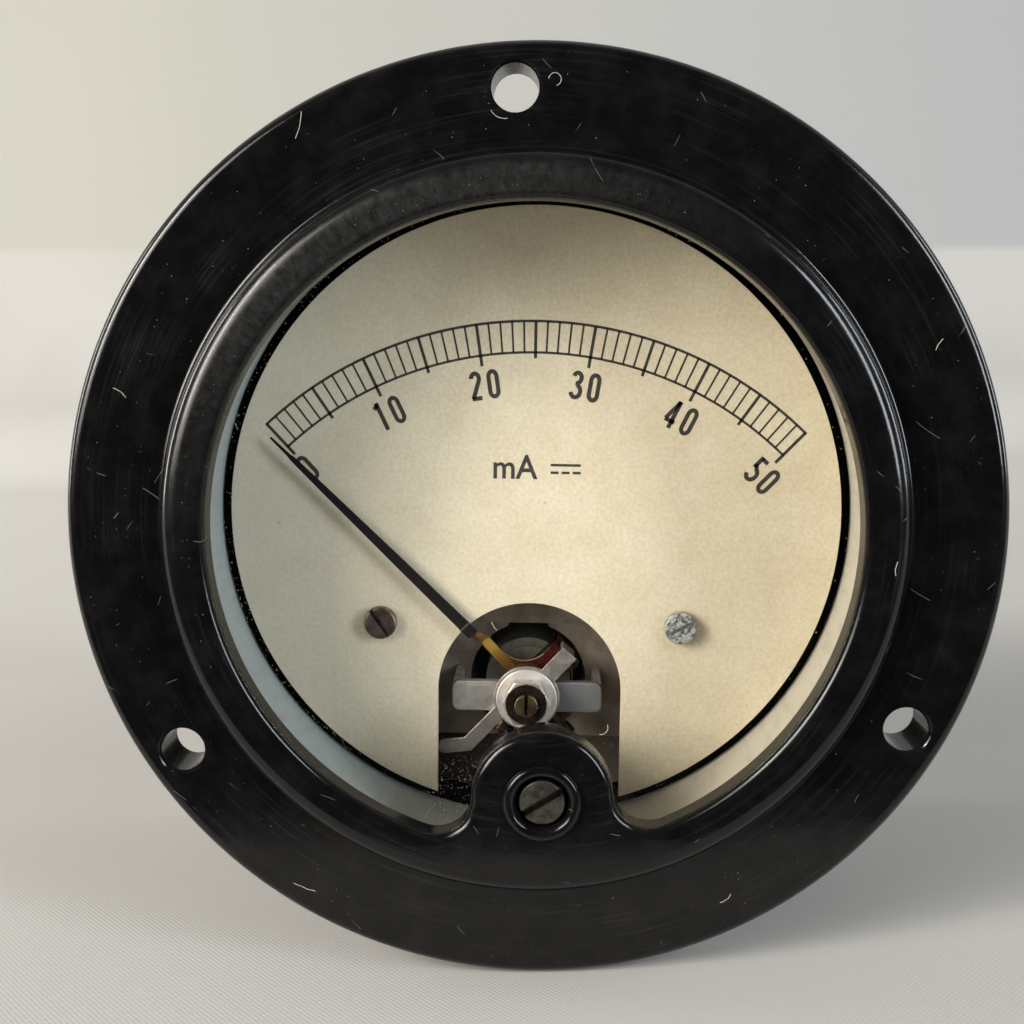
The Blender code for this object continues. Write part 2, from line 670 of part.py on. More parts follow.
def screw(name, head_radius, head, radius, length, parent, at, slot_angle, slot_share=SLOT_WIDTH_SHARE):
    """A slotted cheese-head screw that drives towards -z, with the underside of its head at z = 0."""
    profile = [(0.0, head), *rounded_path([(0.0, head, 0.0), (head_radius, head, head / 5),
               (head_radius, 0.0, 0.0), (radius, 0.0, 0.0), (radius, -length, 0.0), (0.0, -length, 0.0)],
               closed=False, steps=2)[1:]]
    made = turned(name, profile, parent, at)
    depth = SLOT_DEPTH_SHARE * head
    size = (2 * (head_radius + OVERRUN), 2 * head_radius * slot_share, depth + OVERRUN)
    slot = box(name + "_slot", size, (0.0, 0.0, head - depth + size[2] / 2), parent, at, slot_angle)
    return cut(made, slot)


def hex_nut(name, flats, back, front, bore, parent, at=(0.0, 0.0), chamfer_radius=None, chamfer_back=False):
    """A hexagon nut with a flat uppermost, chamfered at its front, or at its back."""
    corner = flats / math.sqrt(3.0)
    crown = chamfer_radius or flats / 2
    fall = (corner + OVERRUN - crown) * math.tan(math.radians(30.0))
    nut = cylinder(name, corner, back, front, parent, at, turn=30.0, steps=6)
    if chamfer_back:
        profile = [(0.0, front + OVERRUN), (corner + OVERRUN, front + OVERRUN), (corner + OVERRUN, back + fall),
                   (crown, back), (0.0, back)]
    else:
        profile = [(0.0, front), (crown, front), (corner + OVERRUN, front - fall),
                   (corner + OVERRUN, back - OVERRUN), (0.0, back - OVERRUN)]
    combine(nut, turned(name + "_crown", profile, parent, (*at, 0.0), turn=180.0 / SMALL_STEPS), "INTERSECT")
    return cut(nut, cylinder(name + "_bore", bore, back - OVERRUN, front + OVERRUN, parent, at))


def empty(name, parent, at=(0.0, 0.0, 0.0), turn=0.0):
    made = new_object(name, None, parent, at, turn)
    made.empty_display_size = BOSS_RADIUS
    return made


def opening_outline():
    """The window opening: a circle that the boss intrudes on at six o'clock, with a fillet each side of it."""
    reach = OPENING_RADIUS - BOSS_FILLET
    spread = BOSS_RADIUS + BOSS_FILLET
    cosine = (reach**2 + BOSS_DROP**2 - spread**2) / (2 * reach * BOSS_DROP)
    swing = math.degrees(math.acos(cosine))
    fillet = Vector((reach * math.sin(math.radians(swing)), -reach * cosine))
    boss = Vector((0.0, -BOSS_DROP))
    tilt = math.degrees(math.atan2(fillet.y - boss.y, fillet.x - boss.x))
    circle_arc = arc((0.0, 0.0), OPENING_RADIUS, swing - 90.0, 270.0 - swing, LARGE_STEPS - SMALL_STEPS // 2)
    left_fillet = arc((-fillet.x, fillet.y), BOSS_FILLET, 270.0 - swing, 360.0 - tilt, SMALL_STEPS // 3)
    boss_arc = arc(boss, BOSS_RADIUS, 180.0 - tilt, tilt, SMALL_STEPS)
    right_fillet = arc(fillet, BOSS_FILLET, 180.0 + tilt, 270.0 + swing, SMALL_STEPS // 3)
    return circle_arc + left_fillet[1:] + boss_arc[1:] + right_fillet[1:-1]


def notched_disc(radius, half_width, arch_x, arch_y):
    """A disc with an arched slot that is open at the bottom."""
    right = math.degrees(math.atan2(-math.sqrt(radius**2 - (arch_x + half_width) ** 2), arch_x + half_width))
    left = 180.0 - math.degrees(math.asin(-math.sqrt(radius**2 - (arch_x - half_width) ** 2) / radius))
    rim = arc((0.0, 0.0), radius, right, left, LARGE_STEPS - SMALL_STEPS // 2)
    return rim + arc((arch_x, arch_y), half_width, 180.0, 0.0, SMALL_STEPS)


def cover_body(parent):
    """The flange with its rebate for the cup, the foot of the bezel wall and the rear skirt, spun in one."""
    inside = POCKET_RADIUS - OVERRUN
    foot = BEZEL_RADIUS - OVERLAP
    profile = rounded_path([
        (inside, FLANGE_THICKNESS + BEZEL_FILLET + OVERLAP, 0.0),
        (foot, FLANGE_THICKNESS + BEZEL_FILLET + OVERLAP, 0.0),
        (foot, FLANGE_THICKNESS, BEZEL_FILLET),
        (FLANGE_RADIUS, FLANGE_THICKNESS, FLANGE_ROUNDING),
        (FLANGE_RADIUS, 0.0, FLANGE_BACK_ROUNDING),
        (CASE_RADIUS + SEAT_GAP, 0.0, 0.0),
        (CASE_RADIUS + SEAT_GAP, CASE_SEAT_DEPTH, 0.0),
        (SKIRT_RADIUS, CASE_SEAT_DEPTH, 0.0),
        (SKIRT_RADIUS, SKIRT_BACK, 0.0),
        (inside, SKIRT_BACK, 0.0),
    ], steps=3)
    return turned("front_cover", profile, parent, steps=LARGE_STEPS, ring=True)


def bezel_shoulder(parent):
    """The round block whose wall and rounded shoulder the bezel keeps. Its shoulder runs on past the face."""
    shoulder = BEZEL_HEIGHT - BEZEL_WALL
    edge = arc((BEZEL_RADIUS - shoulder, BEZEL_FACE - shoulder), shoulder, 0.0, 90.0, 4)
    run = Vector(edge[-1]) - Vector(edge[-2])
    top = Vector(edge[-1]) + run / 4
    low = LIP_BACK - LIP_ROUNDING - OVERRUN
    profile = [(0.0, top.y), tuple(top), *reversed(edge), (BEZEL_RADIUS, low), (0.0, low)]
    return turned("bezel_shoulder", profile, parent, steps=LARGE_STEPS)


def front_cover(parent, look):
    cover = cover_body(parent)
    bezel = plate(
        "bezel", [circle((0.0, 0.0), BEZEL_RADIUS + OVERRUN, LARGE_STEPS), opening_outline()],
        LIP_BACK - LIP_ROUNDING - OVERLAP, BEZEL_FACE, parent, rounding=LIP_ROUNDING,
    )
    combine(bezel, bezel_shoulder(parent), "INTERSECT")
    boss = (0.0, -BOSS_DROP)
    pocket = cylinder("glass_pocket", POCKET_RADIUS, SKIRT_BACK - OVERRUN, LIP_BACK, parent, steps=LARGE_STEPS)
    stem = cylinder("stem", STEM_RADIUS, STEM_BACK, BEZEL_FACE - LIP_ROUNDING, parent, boss, steps=MEDIUM_STEPS)
    bead_outer = BEAD_INNER_RADIUS + BEAD_WIDTH
    bead_profile = rounded_path([
        (BEAD_INNER_RADIUS, BEZEL_FACE + BEAD_HEIGHT, BEAD_WIDTH / 2 - OVERLAP),
        (bead_outer, BEZEL_FACE + BEAD_HEIGHT, BEAD_WIDTH / 2 - OVERLAP),
        (bead_outer, BEZEL_FACE - OVERLAP, 0.0),
        (BEAD_INNER_RADIUS, BEZEL_FACE - OVERLAP, 0.0),
    ], steps=2)
    bead = turned("bead", bead_profile, parent, (*boss, 0.0), steps=MEDIUM_STEPS, ring=True)
    join(cover, bezel)
    cut(cover, pocket)
    join(cover, stem, bead)
    cut(cover, zero_screw_bore(parent, boss))
    for angle in MOUNT_HOLE_ANGLES:
        cut(cover, mount_hole(parent, angle))
    for angle in CASE_SCREW_ANGLES:
        cut(cover, radial_hole("skirt_hole", CASE_SCREW_RADIUS + STACK_GAP, parent, angle))
    return finish(cover, look)


def zero_screw_bore(parent, boss):
    recess = ZERO_HEAD_RADIUS + RECESS_MARGIN
    floor = BEZEL_FACE - ZERO_HEAD_DEPTH - STACK_GAP
    shaft = ZERO_SHAFT_RADIUS + STACK_GAP
    top = BEZEL_FACE + OVERRUN
    profile = [(0.0, top), (recess, top), (recess, floor), (shaft, floor), (shaft, STEM_BACK - OVERRUN),
               (0.0, STEM_BACK - OVERRUN)]
    return turned("zero_screw_bore", profile, parent, (*boss, 0.0))


def mount_hole(parent, angle):
    """A hole for a panel screw, its rim eased at both faces."""
    wide = MOUNT_HOLE_RADIUS + MOUNT_HOLE_RIM
    front = FLANGE_THICKNESS
    profile = [(0.0, front + OVERRUN), (wide + OVERRUN, front + OVERRUN),
               (MOUNT_HOLE_RADIUS, front - MOUNT_HOLE_RIM), (MOUNT_HOLE_RADIUS, MOUNT_HOLE_RIM),
               (wide + OVERRUN, -OVERRUN), (0.0, -OVERRUN)]
    place = arc((0.0, 0.0), FLANGE_RADIUS - MOUNT_HOLE_INSET, angle, angle, 1)[0]
    return turned("mount_hole", profile, parent, (*place, 0.0))


def radial_hole(name, radius, parent, angle):
    """A round cutter across the skirt, from inside its inner face to outside the cup."""
    start = POCKET_RADIUS - OVERRUN / 2
    end = CASE_RADIUS + OVERRUN
    cutter = cylinder(name, radius, start, end, parent)
    lay_radially(cutter, angle, (start + end) / 2)
    return cutter


def lay_radially(piece, angle, reach):
    """Turns a piece's z outwards along a radius at the level of the case screws, and half a facet about itself."""
    x, y = arc((0.0, 0.0), reach, angle, angle, 1)[0]
    outwards = Matrix.Rotation(math.radians(angle), 4, "Z") @ Matrix.Rotation(math.pi / 2, 4, "Y")
    half_step = Matrix.Rotation(math.pi / SMALL_STEPS, 4, "Z")
    piece.matrix_basis = Matrix.Translation((x, y, -CASE_SCREW_DEPTH)) @ outwards @ half_step


def window_glass(parent, look):
    outline = notched_disc(LINER_RADIUS + LINER_THICKNESS, STEM_RADIUS + SEAT_GAP, 0.0, -BOSS_DROP)
    return finish(plate("window_glass", [outline], GLASS_BACK, GLASS_FRONT, parent), look)


def dial_liner(parent, look):
    outer = LINER_RADIUS + LINER_THICKNESS
    return finish(ring("dial_liner", LINER_RADIUS, outer, LINER_BACK, LINER_FRONT, parent, steps=LARGE_STEPS), look)


def zero_screw(parent, look):
    """The screw in the boss, with its eccentric pin on the side away from the pivot."""
    neck = BEZEL_FACE - ZERO_HEAD_DEPTH
    profile = rounded_path([
        (0.0, BEZEL_FACE, 0.0), (ZERO_HEAD_RADIUS, BEZEL_FACE, ZERO_HEAD_RADIUS / 10), (ZERO_HEAD_RADIUS, neck, 0.0),
        (ZERO_SHAFT_RADIUS, neck, 0.0), (ZERO_SHAFT_RADIUS, ZERO_SHAFT_BACK, 0.0), (0.0, ZERO_SHAFT_BACK, 0.0),
    ], closed=False, steps=2)
    made = turned("zero_screw", profile, parent, steps=MEDIUM_STEPS)
    away = turned_point(*(FORK_DIRECTION * ZERO_PIN_OFFSET), DIAL_TURN)
    pin_back = LEVER_BACK - ZERO_PIN_PAST_LEVER
    join(made, cylinder("zero_pin", ZERO_PIN_RADIUS, pin_back, ZERO_SHAFT_BACK + OVERLAP, parent, away))
    size = (2 * (ZERO_HEAD_RADIUS + OVERRUN), ZERO_SLOT_WIDTH, ZERO_SLOT_DEPTH + OVERRUN)
    centre = (0.0, 0.0, BEZEL_FACE - ZERO_SLOT_DEPTH + size[2] / 2)
    cut(made, box("zero_slot", size, centre, parent, turn=ZERO_SLOT_ANGLE))
    return finish(made, look)


def zero_screw_clip(parent, look):
    bore = ZERO_SHAFT_RADIUS + STACK_GAP
    front = STEM_BACK - STACK_GAP
    return finish(ring("zero_screw_clip", bore, bore + CLIP_WIDTH, front - CLIP_THICKNESS, front, parent), look)


def dial_plate(parent, look):
    outline = notched_disc(DIAL_RADIUS, ARCH_RADIUS, DIAL_SHIFT, PIVOT[1] + ARCH_ABOVE_PIVOT)
    hole = DIAL_SCREW_RADIUS + STACK_GAP
    holes = [circle((PIVOT[0] + x, PIVOT[1] + y), hole, SMALL_STEPS // 2) for x, y in DIAL_SCREW_PLACES]
    return finish(plate("dial_plate", [outline, *holes], DIAL_BACK, DIAL_FRONT, parent), look)


def dial_screws(parent, looks):
    for side, place, angle, look in zip(("left", "right"), DIAL_SCREW_PLACES, DIAL_SCREW_SLOT_ANGLES, looks):
        made = screw(
            "dial_screw_" + side, DIAL_SCREW_HEAD_RADIUS, DIAL_SCREW_HEAD, DIAL_SCREW_RADIUS, DIAL_SCREW_LENGTH,
            parent, (*place, DIAL_FRONT + STACK_GAP), angle,
        )
        finish(made, look)


def movement_plate(parent, look):
    """The plate behind the dial's arch, with the two posts that carry the dial."""
    low = SHOE_HALF_HEIGHT + STACK_GAP
    high = low + PLATE_HEIGHT
    outline = rounded_path([
        (-PLATE_HALF_LENGTH, low, PLATE_CORNER), (PLATE_HALF_LENGTH, low, PLATE_CORNER),
        (PLATE_HALF_LENGTH, high, PLATE_CORNER), (-PLATE_HALF_LENGTH, high, PLATE_CORNER),
    ])
    yoke_holes = [circle((x, YOKE_SCREW_ABOVE_PIVOT), YOKE_SCREW_RADIUS + STACK_GAP, SMALL_STEPS // 2)
                  for x in (-YOKE_SCREW_SPREAD, YOKE_SCREW_SPREAD)]
    made = plate("movement_plate", [outline, *yoke_holes], PLATE_BACK, PLATE_FRONT, parent)
    root = PLATE_BACK + PLATE_THICKNESS / 2
    deep = DIAL_FRONT - DIAL_SCREW_LENGTH - SEAT_GAP
    for place in DIAL_SCREW_PLACES:
        join(made, cylinder("dial_post", POST_RADIUS, root, DIAL_BACK - STACK_GAP, parent, place))
    for place in DIAL_SCREW_PLACES:
        cut(made, cylinder("post_hole", DIAL_SCREW_RADIUS + STACK_GAP, deep, DIAL_FRONT, parent, place))
    return finish(made, look)


def yoke_screws(parent, look):
    length = PLATE_FRONT + STACK_GAP - BASE_BACK
    for side, x in (("left", -YOKE_SCREW_SPREAD), ("right", YOKE_SCREW_SPREAD)):
        made = screw(
            "yoke_screw_" + side, YOKE_SCREW_HEAD_RADIUS, YOKE_SCREW_HEAD, YOKE_SCREW_RADIUS, length,
            parent, (x, YOKE_SCREW_ABOVE_PIVOT, PLATE_FRONT + STACK_GAP), 0.0,
        )
        finish(made, look)


def magnet(parent, look):
    """A C-shaped magnet about the meter's own axis, open downwards where the pole shoes fill its mouth."""
    centre = (0.0, -PIVOT[1])
    start = MAGNET_MOUTH_ANGLE - 90.0
    end = 270.0 - MAGNET_MOUTH_ANGLE
    outer = arc(centre, MAGNET_OUTER_RADIUS, start, end, MEDIUM_STEPS)
    inner = arc(centre, MAGNET_INNER_RADIUS, end, start, MEDIUM_STEPS)
    holes = [circle((x, YOKE_SCREW_ABOVE_PIVOT), YOKE_SCREW_RADIUS + STACK_GAP, SMALL_STEPS // 2)
             for x in (-YOKE_SCREW_SPREAD, YOKE_SCREW_SPREAD)]
    return finish(plate("magnet", [outer + inner, *holes], MAGNET_BACK, MAGNET_FRONT, parent), look)


def shoe_outline():
    """The right pole shoe: bored for the coil, and cut to the end of the magnet that it meets."""
    centre = Vector((0.0, -PIVOT[1]))
    mouth = math.radians(MAGNET_MOUTH_ANGLE - 90.0)
    along = Vector((math.cos(mouth), math.sin(mouth)))
    inset = Vector((math.sin(mouth), -math.cos(mouth))) * STACK_GAP
    inner = MAGNET_INNER_RADIUS - STACK_GAP
    top = SHOE_HALF_HEIGHT
    lean = math.degrees(math.asin((top - centre.y) / inner))
    gap = math.degrees(STACK_GAP / inner)
    horn = math.degrees(math.acos(HORN_HALF_GAP / SHOE_BORE_RADIUS))
    tip = centre + along * MAGNET_OUTER_RADIUS + inset
    tip_angle = math.degrees(math.atan2(tip.y - centre.y, tip.x))
    low = -math.degrees(math.acos(math.sqrt(MAGNET_OUTER_RADIUS**2 - (top + centre.y) ** 2) / MAGNET_OUTER_RADIUS))
    points = [(HORN_HALF_GAP, top)]
    points += arc(centre, inner, lean, MAGNET_MOUTH_ANGLE - 90.0 - gap, CORNER_STEPS)
    points += arc(centre, MAGNET_OUTER_RADIUS, tip_angle, low, CORNER_STEPS)
    points.append((HORN_HALF_GAP, -top))
    points += arc((0.0, 0.0), SHOE_BORE_RADIUS, -horn, horn, SMALL_STEPS)
    return points


def pole_shoes(parent, look):
    outline = shoe_outline()
    mirrored = [(-x, y) for x, y in reversed(outline)]
    for side, points in (("left", mirrored), ("right", outline)):
        finish(plate("pole_shoe_" + side, [points], SHOE_BACK, SHOE_FRONT, parent), look)


def base_plate(parent, look):
    """The plate behind the magnet, open round the pivot for the coil to turn in."""
    outline = rounded_path([
        (-BASE_PLATE_FOOT_HALF_LENGTH, -BASE_PLATE_DROP, PLATE_CORNER),
        (BASE_PLATE_FOOT_HALF_LENGTH, -BASE_PLATE_DROP, PLATE_CORNER),
        (PLATE_HALF_LENGTH, BASE_PLATE_SHOULDER, PLATE_CORNER),
        (PLATE_HALF_LENGTH, BASE_PLATE_RISE, PLATE_CORNER),
        (-PLATE_HALF_LENGTH, BASE_PLATE_RISE, PLATE_CORNER),
        (-PLATE_HALF_LENGTH, BASE_PLATE_SHOULDER, PLATE_CORNER),
    ])
    holes = [circle((0.0, 0.0), SHOE_BORE_RADIUS + SEAT_GAP, MEDIUM_STEPS)]
    for x in (-YOKE_SCREW_SPREAD, YOKE_SCREW_SPREAD):
        holes.append(circle((x, YOKE_SCREW_ABOVE_PIVOT), YOKE_SCREW_RADIUS + STACK_GAP, SMALL_STEPS // 2))
    for x in (-COLUMN_SPREAD, COLUMN_SPREAD):
        holes.append(circle((x, COLUMN_ABOVE_PIVOT), MOVEMENT_SCREW_RADIUS + STACK_GAP, SMALL_STEPS // 2))
    return finish(plate("base_plate", [outline, *holes], BASE_BACK, BASE_FRONT, parent), look)


def core(parent, look):
    profile = [(0.0, CORE_FRONT), (CORE_FACE_RADIUS, CORE_FRONT), (CORE_FACE_RADIUS, CORE_FRONT - CORE_FACE_STEP),
               (CORE_RADIUS, CORE_FRONT - CORE_FACE_STEP), (CORE_RADIUS, CORE_BACK), (0.0, CORE_BACK)]
    return finish(turned("core", profile, parent, steps=MEDIUM_STEPS), look)


def core_bracket(parent, look):
    """A strap beside the core in the lower gap between the shoes, turned outwards onto the base plate."""
    near = -CORE_RADIUS - BORE_CLEARANCE
    far = near - BRACKET_THICKNESS
    floor = BASE_FRONT + STACK_GAP
    outline = [(near, SHOE_FRONT), (near, floor), (far - BRACKET_FOOT, floor),
               (far - BRACKET_FOOT, floor + BRACKET_THICKNESS), (far, floor + BRACKET_THICKNESS), (far, SHOE_FRONT)]
    return finish(side_plate("core_bracket", outline, BRACKET_WIDTH, parent), look)


def bridge(name, front, back, foot, leg_inside, parent, look):
    """A flat bar across the pivot on two legs, which run to the foot level, bored for its jewel screw."""
    half = leg_inside + LEG_THICKNESS
    tall = BRIDGE_HEIGHT / 2
    outline = rounded_path([(-half, -tall, BRIDGE_CORNER), (half, -tall, BRIDGE_CORNER), (half, tall, BRIDGE_CORNER),
                            (-half, tall, BRIDGE_CORNER)])
    made = plate(name, [outline, circle((0.0, 0.0), JEWEL_RADIUS + STACK_GAP, SMALL_STEPS)], back, front, parent)
    start = (front + back) / 2
    size = (LEG_THICKNESS - OVERLAP, BRIDGE_HEIGHT - 2 * BRIDGE_CORNER, abs(foot - start))
    for side in (-1, 1):
        centre = (side * (leg_inside + size[0] / 2), 0.0, (foot + start) / 2)
        join(made, box(name + "_leg", size, centre, parent))
    return finish(made, look)


def jewel_screw(name, outside, inside, parent, look):
    """A slotted screw whose inner end holds the jewel, cupped for the point of the pivot."""
    inwards = 1 if inside > outside else -1
    cup_radius = PIVOT_RADIUS + STACK_GAP
    cup = inside - inwards * PIVOT_TIP / 2
    profile = [(0.0, outside), (JEWEL_RADIUS, outside), (JEWEL_RADIUS, inside), (cup_radius, inside), (0.0, cup)]
    if inwards > 0:
        profile.reverse()
    made = turned(name, profile, parent)
    size = (JEWEL_SLOT_WIDTH, 2 * (JEWEL_RADIUS + OVERRUN), JEWEL_SLOT_DEPTH + OVERRUN)
    centre = outside + inwards * (JEWEL_SLOT_DEPTH - size[2] / 2)
    cut(made, box(name + "_slot", size, (0.0, 0.0, centre), parent))
    return finish(made, look)


def lever_washer(parent, look):
    bore = JEWEL_RADIUS + STACK_GAP
    washer = ring("lever_washer", bore, WASHER_RADIUS, WASHER_BACK, WASHER_FRONT, parent, steps=MEDIUM_STEPS)
    return finish(washer, look)


def spring_arm():
    """The limb that ends a hairspring: straight out from the hub, with its fold just clear of the spring."""
    reach = TAB_INSIDE + LEVER_THICKNESS + OVERLAP
    return [(0.0, 0.0), turned_point(0.0, reach, -SPRING_ARM_ANGLE)], SPRING_ARM_WIDTH, False


def spring_tab(name, level, tab_end, parent):
    """The fold at the end of a spring arm, along the pivot as far as the spring."""
    low, high = sorted((tab_end, level))
    size = (SPRING_ARM_WIDTH - 2 * OVERLAP, LEVER_THICKNESS, high - low)
    centre = (0.0, TAB_INSIDE + LEVER_THICKNESS / 2, (high + low) / 2)
    return box(name, size, centre, parent, turn=-SPRING_ARM_ANGLE)


def zero_lever(parent, look):
    """The lever on the jewel screw: a hub, a tail, the spring arm, and the fork that the zero screw's pin moves."""
    fork_end = FORK_DIRECTION * (PIN_REACH + FORK_PAST_PIN)
    limbs = [(TAIL_POINTS, TAIL_WIDTH, True), ([(0.0, 0.0), fork_end], FORK_WIDTH, True), spring_arm()]
    loops = [hub_with_limbs(LEVER_HUB_RADIUS, limbs), circle((0.0, 0.0), JEWEL_RADIUS + STACK_GAP, SMALL_STEPS)]
    made = plate("zero_lever", loops, LEVER_BACK, LEVER_FRONT, parent)
    tab_end = HAIRSPRING_LEVEL - HAIRSPRING_WIRE_RADIUS
    join(made, spring_tab("spring_tab", (LEVER_BACK + LEVER_FRONT) / 2, tab_end, parent))
    slot_start = FORK_DIRECTION * (PIN_REACH - 2 * ZERO_PIN_OFFSET)
    slot_end = FORK_DIRECTION * (PIN_REACH + FORK_PAST_PIN + FORK_WIDTH)
    slot_width = 2 * (ZERO_PIN_RADIUS + FORK_SIDE_CLEARANCE)
    slot = plate("fork_slot", [strap([slot_start, slot_end], slot_width)],
                 LEVER_BACK - OVERRUN, LEVER_FRONT + OVERRUN, parent)
    cut(made, slot)
    return finish(made, look)


def rear_spring_arm(parent, look):
    """The fixed arm of the rear hairspring, with a tail for its lead."""
    tail = ([(0.0, 0.0), (-REAR_ARM_TAIL, REAR_ARM_TAIL)], TAIL_WIDTH, True)
    loops = [hub_with_limbs(WASHER_RADIUS, [spring_arm(), tail]),
             circle((0.0, 0.0), JEWEL_RADIUS + STACK_GAP, SMALL_STEPS)]
    made = plate("rear_spring_arm", loops, REAR_ARM_BACK, REAR_ARM_FRONT, parent)
    tab_end = REAR_HAIRSPRING_LEVEL + HAIRSPRING_WIRE_RADIUS
    join(made, spring_tab("rear_spring_tab", (REAR_ARM_BACK + REAR_ARM_FRONT) / 2, tab_end, parent))
    return finish(made, look)


def spiral(turns, level, clockwise):
    """Points of a hairspring, from the collet out to the spring arm's tab."""
    count = turns * HAIRSPRING_POINTS_PER_TURN
    grow = HAIRSPRING_OUTER_RADIUS - HAIRSPRING_INNER_RADIUS
    points = []
    for index in range(count + 1):
        angle = 2 * math.pi * index / HAIRSPRING_POINTS_PER_TURN * (-1 if clockwise else 1)
        radius = HAIRSPRING_INNER_RADIUS + grow * index / count
        points.append((radius * math.cos(angle), radius * math.sin(angle), level))
    return points


def least_gap(points, per_turn, wire_radius):
    """The least space between one turn and the next, measured from each point to the runs a turn further on."""
    least = math.inf
    for index, point in enumerate(points):
        here = Vector(point)
        for other in range(index + per_turn // 2, len(points) - 1):
            start, end = Vector(points[other]), Vector(points[other + 1])
            along = max(0.0, min(1.0, (here - start).dot(end - start) / (end - start).length_squared))
            least = min(least, (start + (end - start) * along - here).length)
    return least - 2 * wire_radius


def hairsprings(parent, look):
    for name, level, clockwise in (("front_hairspring", HAIRSPRING_LEVEL, False),
                                   ("rear_hairspring", REAR_HAIRSPRING_LEVEL, True)):
        points = spiral(HAIRSPRING_TURNS, level, clockwise)
        gap = least_gap(points, HAIRSPRING_POINTS_PER_TURN, HAIRSPRING_WIRE_RADIUS)
        print(f"{name}: least gap between turns {1000 * gap:.3f} mm")
        finish(tube(name, points, HAIRSPRING_WIRE_RADIUS, parent, resolution=1), look)


def coil_frame(name, inner_half, thickness, front, back, width, parent, rounding=0.0):
    """A rectangular frame round the core, at right angles to the pointer, spanning x and z."""
    outer_half = inner_half + thickness
    outer = rounded_path([(-outer_half, back, COIL_ROUNDING), (outer_half, back, COIL_ROUNDING),
                          (outer_half, front, COIL_ROUNDING), (-outer_half, front, COIL_ROUNDING)])
    inner_rounding = COIL_ROUNDING - thickness
    inner = rounded_path([(-inner_half, back + thickness, inner_rounding),
                          (inner_half, back + thickness, inner_rounding),
                          (inner_half, front - thickness, inner_rounding),
                          (-inner_half, front - thickness, inner_rounding)])
    upright = Matrix(((1, 0, 0, 0), (0, 0, -1, 0), (0, 1, 0, 0), (0, 0, 0, 1)))
    return plate(name, [outer, inner], -width / 2, width / 2, parent, rounding=rounding, axes=upright)


def moving_coil(parent, former_look, winding_look):
    former = coil_frame("coil_former", FORMER_INNER_HALF, FORMER_THICKNESS, FORMER_FRONT, FORMER_BACK,
                        FORMER_WIDTH, parent)
    winding = coil_frame("coil_winding", WINDING_INNER_HALF, WINDING_THICKNESS, WINDING_FRONT, WINDING_BACK,
                         WINDING_WIDTH, parent, WINDING_ROUNDING)
    finish(former, former_look)
    finish(winding, winding_look)


def pivots(parent, look):
    """The staffs on the coil's two ends: a foot, a shaft with the hairspring's collet, and a point in the jewel."""
    collet_back = COLLET_BACK + STACK_GAP
    front = [(0.0, JEWEL_BACK - STACK_GAP + PIVOT_TIP / 3), (PIVOT_RADIUS, COLLET_FRONT),
             (COLLET_RADIUS, COLLET_FRONT), (COLLET_RADIUS, collet_back), (PIVOT_RADIUS, collet_back),
             (PIVOT_RADIUS, FOOT_FRONT), (PIVOT_FOOT_RADIUS, FOOT_FRONT), (PIVOT_FOOT_RADIUS, FOOT_BACK),
             (0.0, FOOT_BACK)]
    rear = [(0.0, REAR_FOOT_FRONT), (PIVOT_FOOT_RADIUS, REAR_FOOT_FRONT), (PIVOT_FOOT_RADIUS, REAR_FOOT_BACK),
            (COLLET_RADIUS, REAR_FOOT_BACK), (COLLET_RADIUS, REAR_COLLET_BACK), (PIVOT_RADIUS, REAR_COLLET_BACK),
            (0.0, REAR_JEWEL_FRONT + STACK_GAP - PIVOT_TIP / 3)]
    finish(turned("front_pivot", front, parent), look)
    finish(turned("rear_pivot", rear, parent), look)


def balance_arms(parent, arms_look, weight_look):
    """A three-armed cross behind the front hairspring, each arm with its weight."""
    side_reach = LEG_INSIDE - SIDE_ARM_LEG_CLEARANCE
    arms = (("left", SIDE_ARM_ANGLE, side_reach), ("right", -SIDE_ARM_ANGLE, side_reach),
            ("tail", 180.0, TAIL_ARM_REACH))
    limbs = [([(0.0, 0.0), turned_point(0.0, reach, angle)], ARM_WIDTH, False) for _, angle, reach in arms]
    loops = [hub_with_limbs(ARM_HUB_RADIUS, limbs), circle((0.0, 0.0), PIVOT_RADIUS + STACK_GAP, SMALL_STEPS // 2)]
    cross = finish(plate("balance_arms", loops, ARMS_BACK, ARMS_FRONT, parent), arms_look)
    for name, angle, reach in arms:
        weight = ring("balance_weight_" + name, WEIGHT_BORE, WEIGHT_RADIUS, -WEIGHT_LENGTH / 2, WEIGHT_LENGTH / 2,
                      parent, steps=SMALL_STEPS // 2)
        far = reach - WEIGHT_LENGTH / 2 - SEAT_GAP
        weight.location = (*turned_point(0.0, far, angle), (ARMS_FRONT + ARMS_BACK) / 2)
        weight.rotation_euler = (math.pi / 2, 0.0, math.radians(angle))
        finish(weight, weight_look)
    return cross


def pointer_blade(parent, look):
    """A narrow blade that ends in a needle. Its root stands to the right of the line from the pivot to the tip."""
    def middle(reach):
        return BLADE_ROOT_OFFSET * (POINTER_LENGTH - reach) / (POINTER_LENGTH - BLADE_ROOT)

    shoulder = POINTER_LENGTH - NEEDLE_LENGTH
    outline = [
        (middle(BLADE_ROOT) + BLADE_WIDTH / 2, BLADE_ROOT), (middle(shoulder) + BLADE_WIDTH / 2, shoulder),
        (BLADE_TIP_WIDTH / 2, POINTER_LENGTH), (-BLADE_TIP_WIDTH / 2, POINTER_LENGTH),
        (middle(shoulder) - BLADE_WIDTH / 2, shoulder), (middle(BLADE_ROOT) - BLADE_WIDTH / 2, BLADE_ROOT),
    ]
    return finish(plate("pointer_blade", [outline], BLADE_BACK, BLADE_BACK + BLADE_THICKNESS, parent), look)


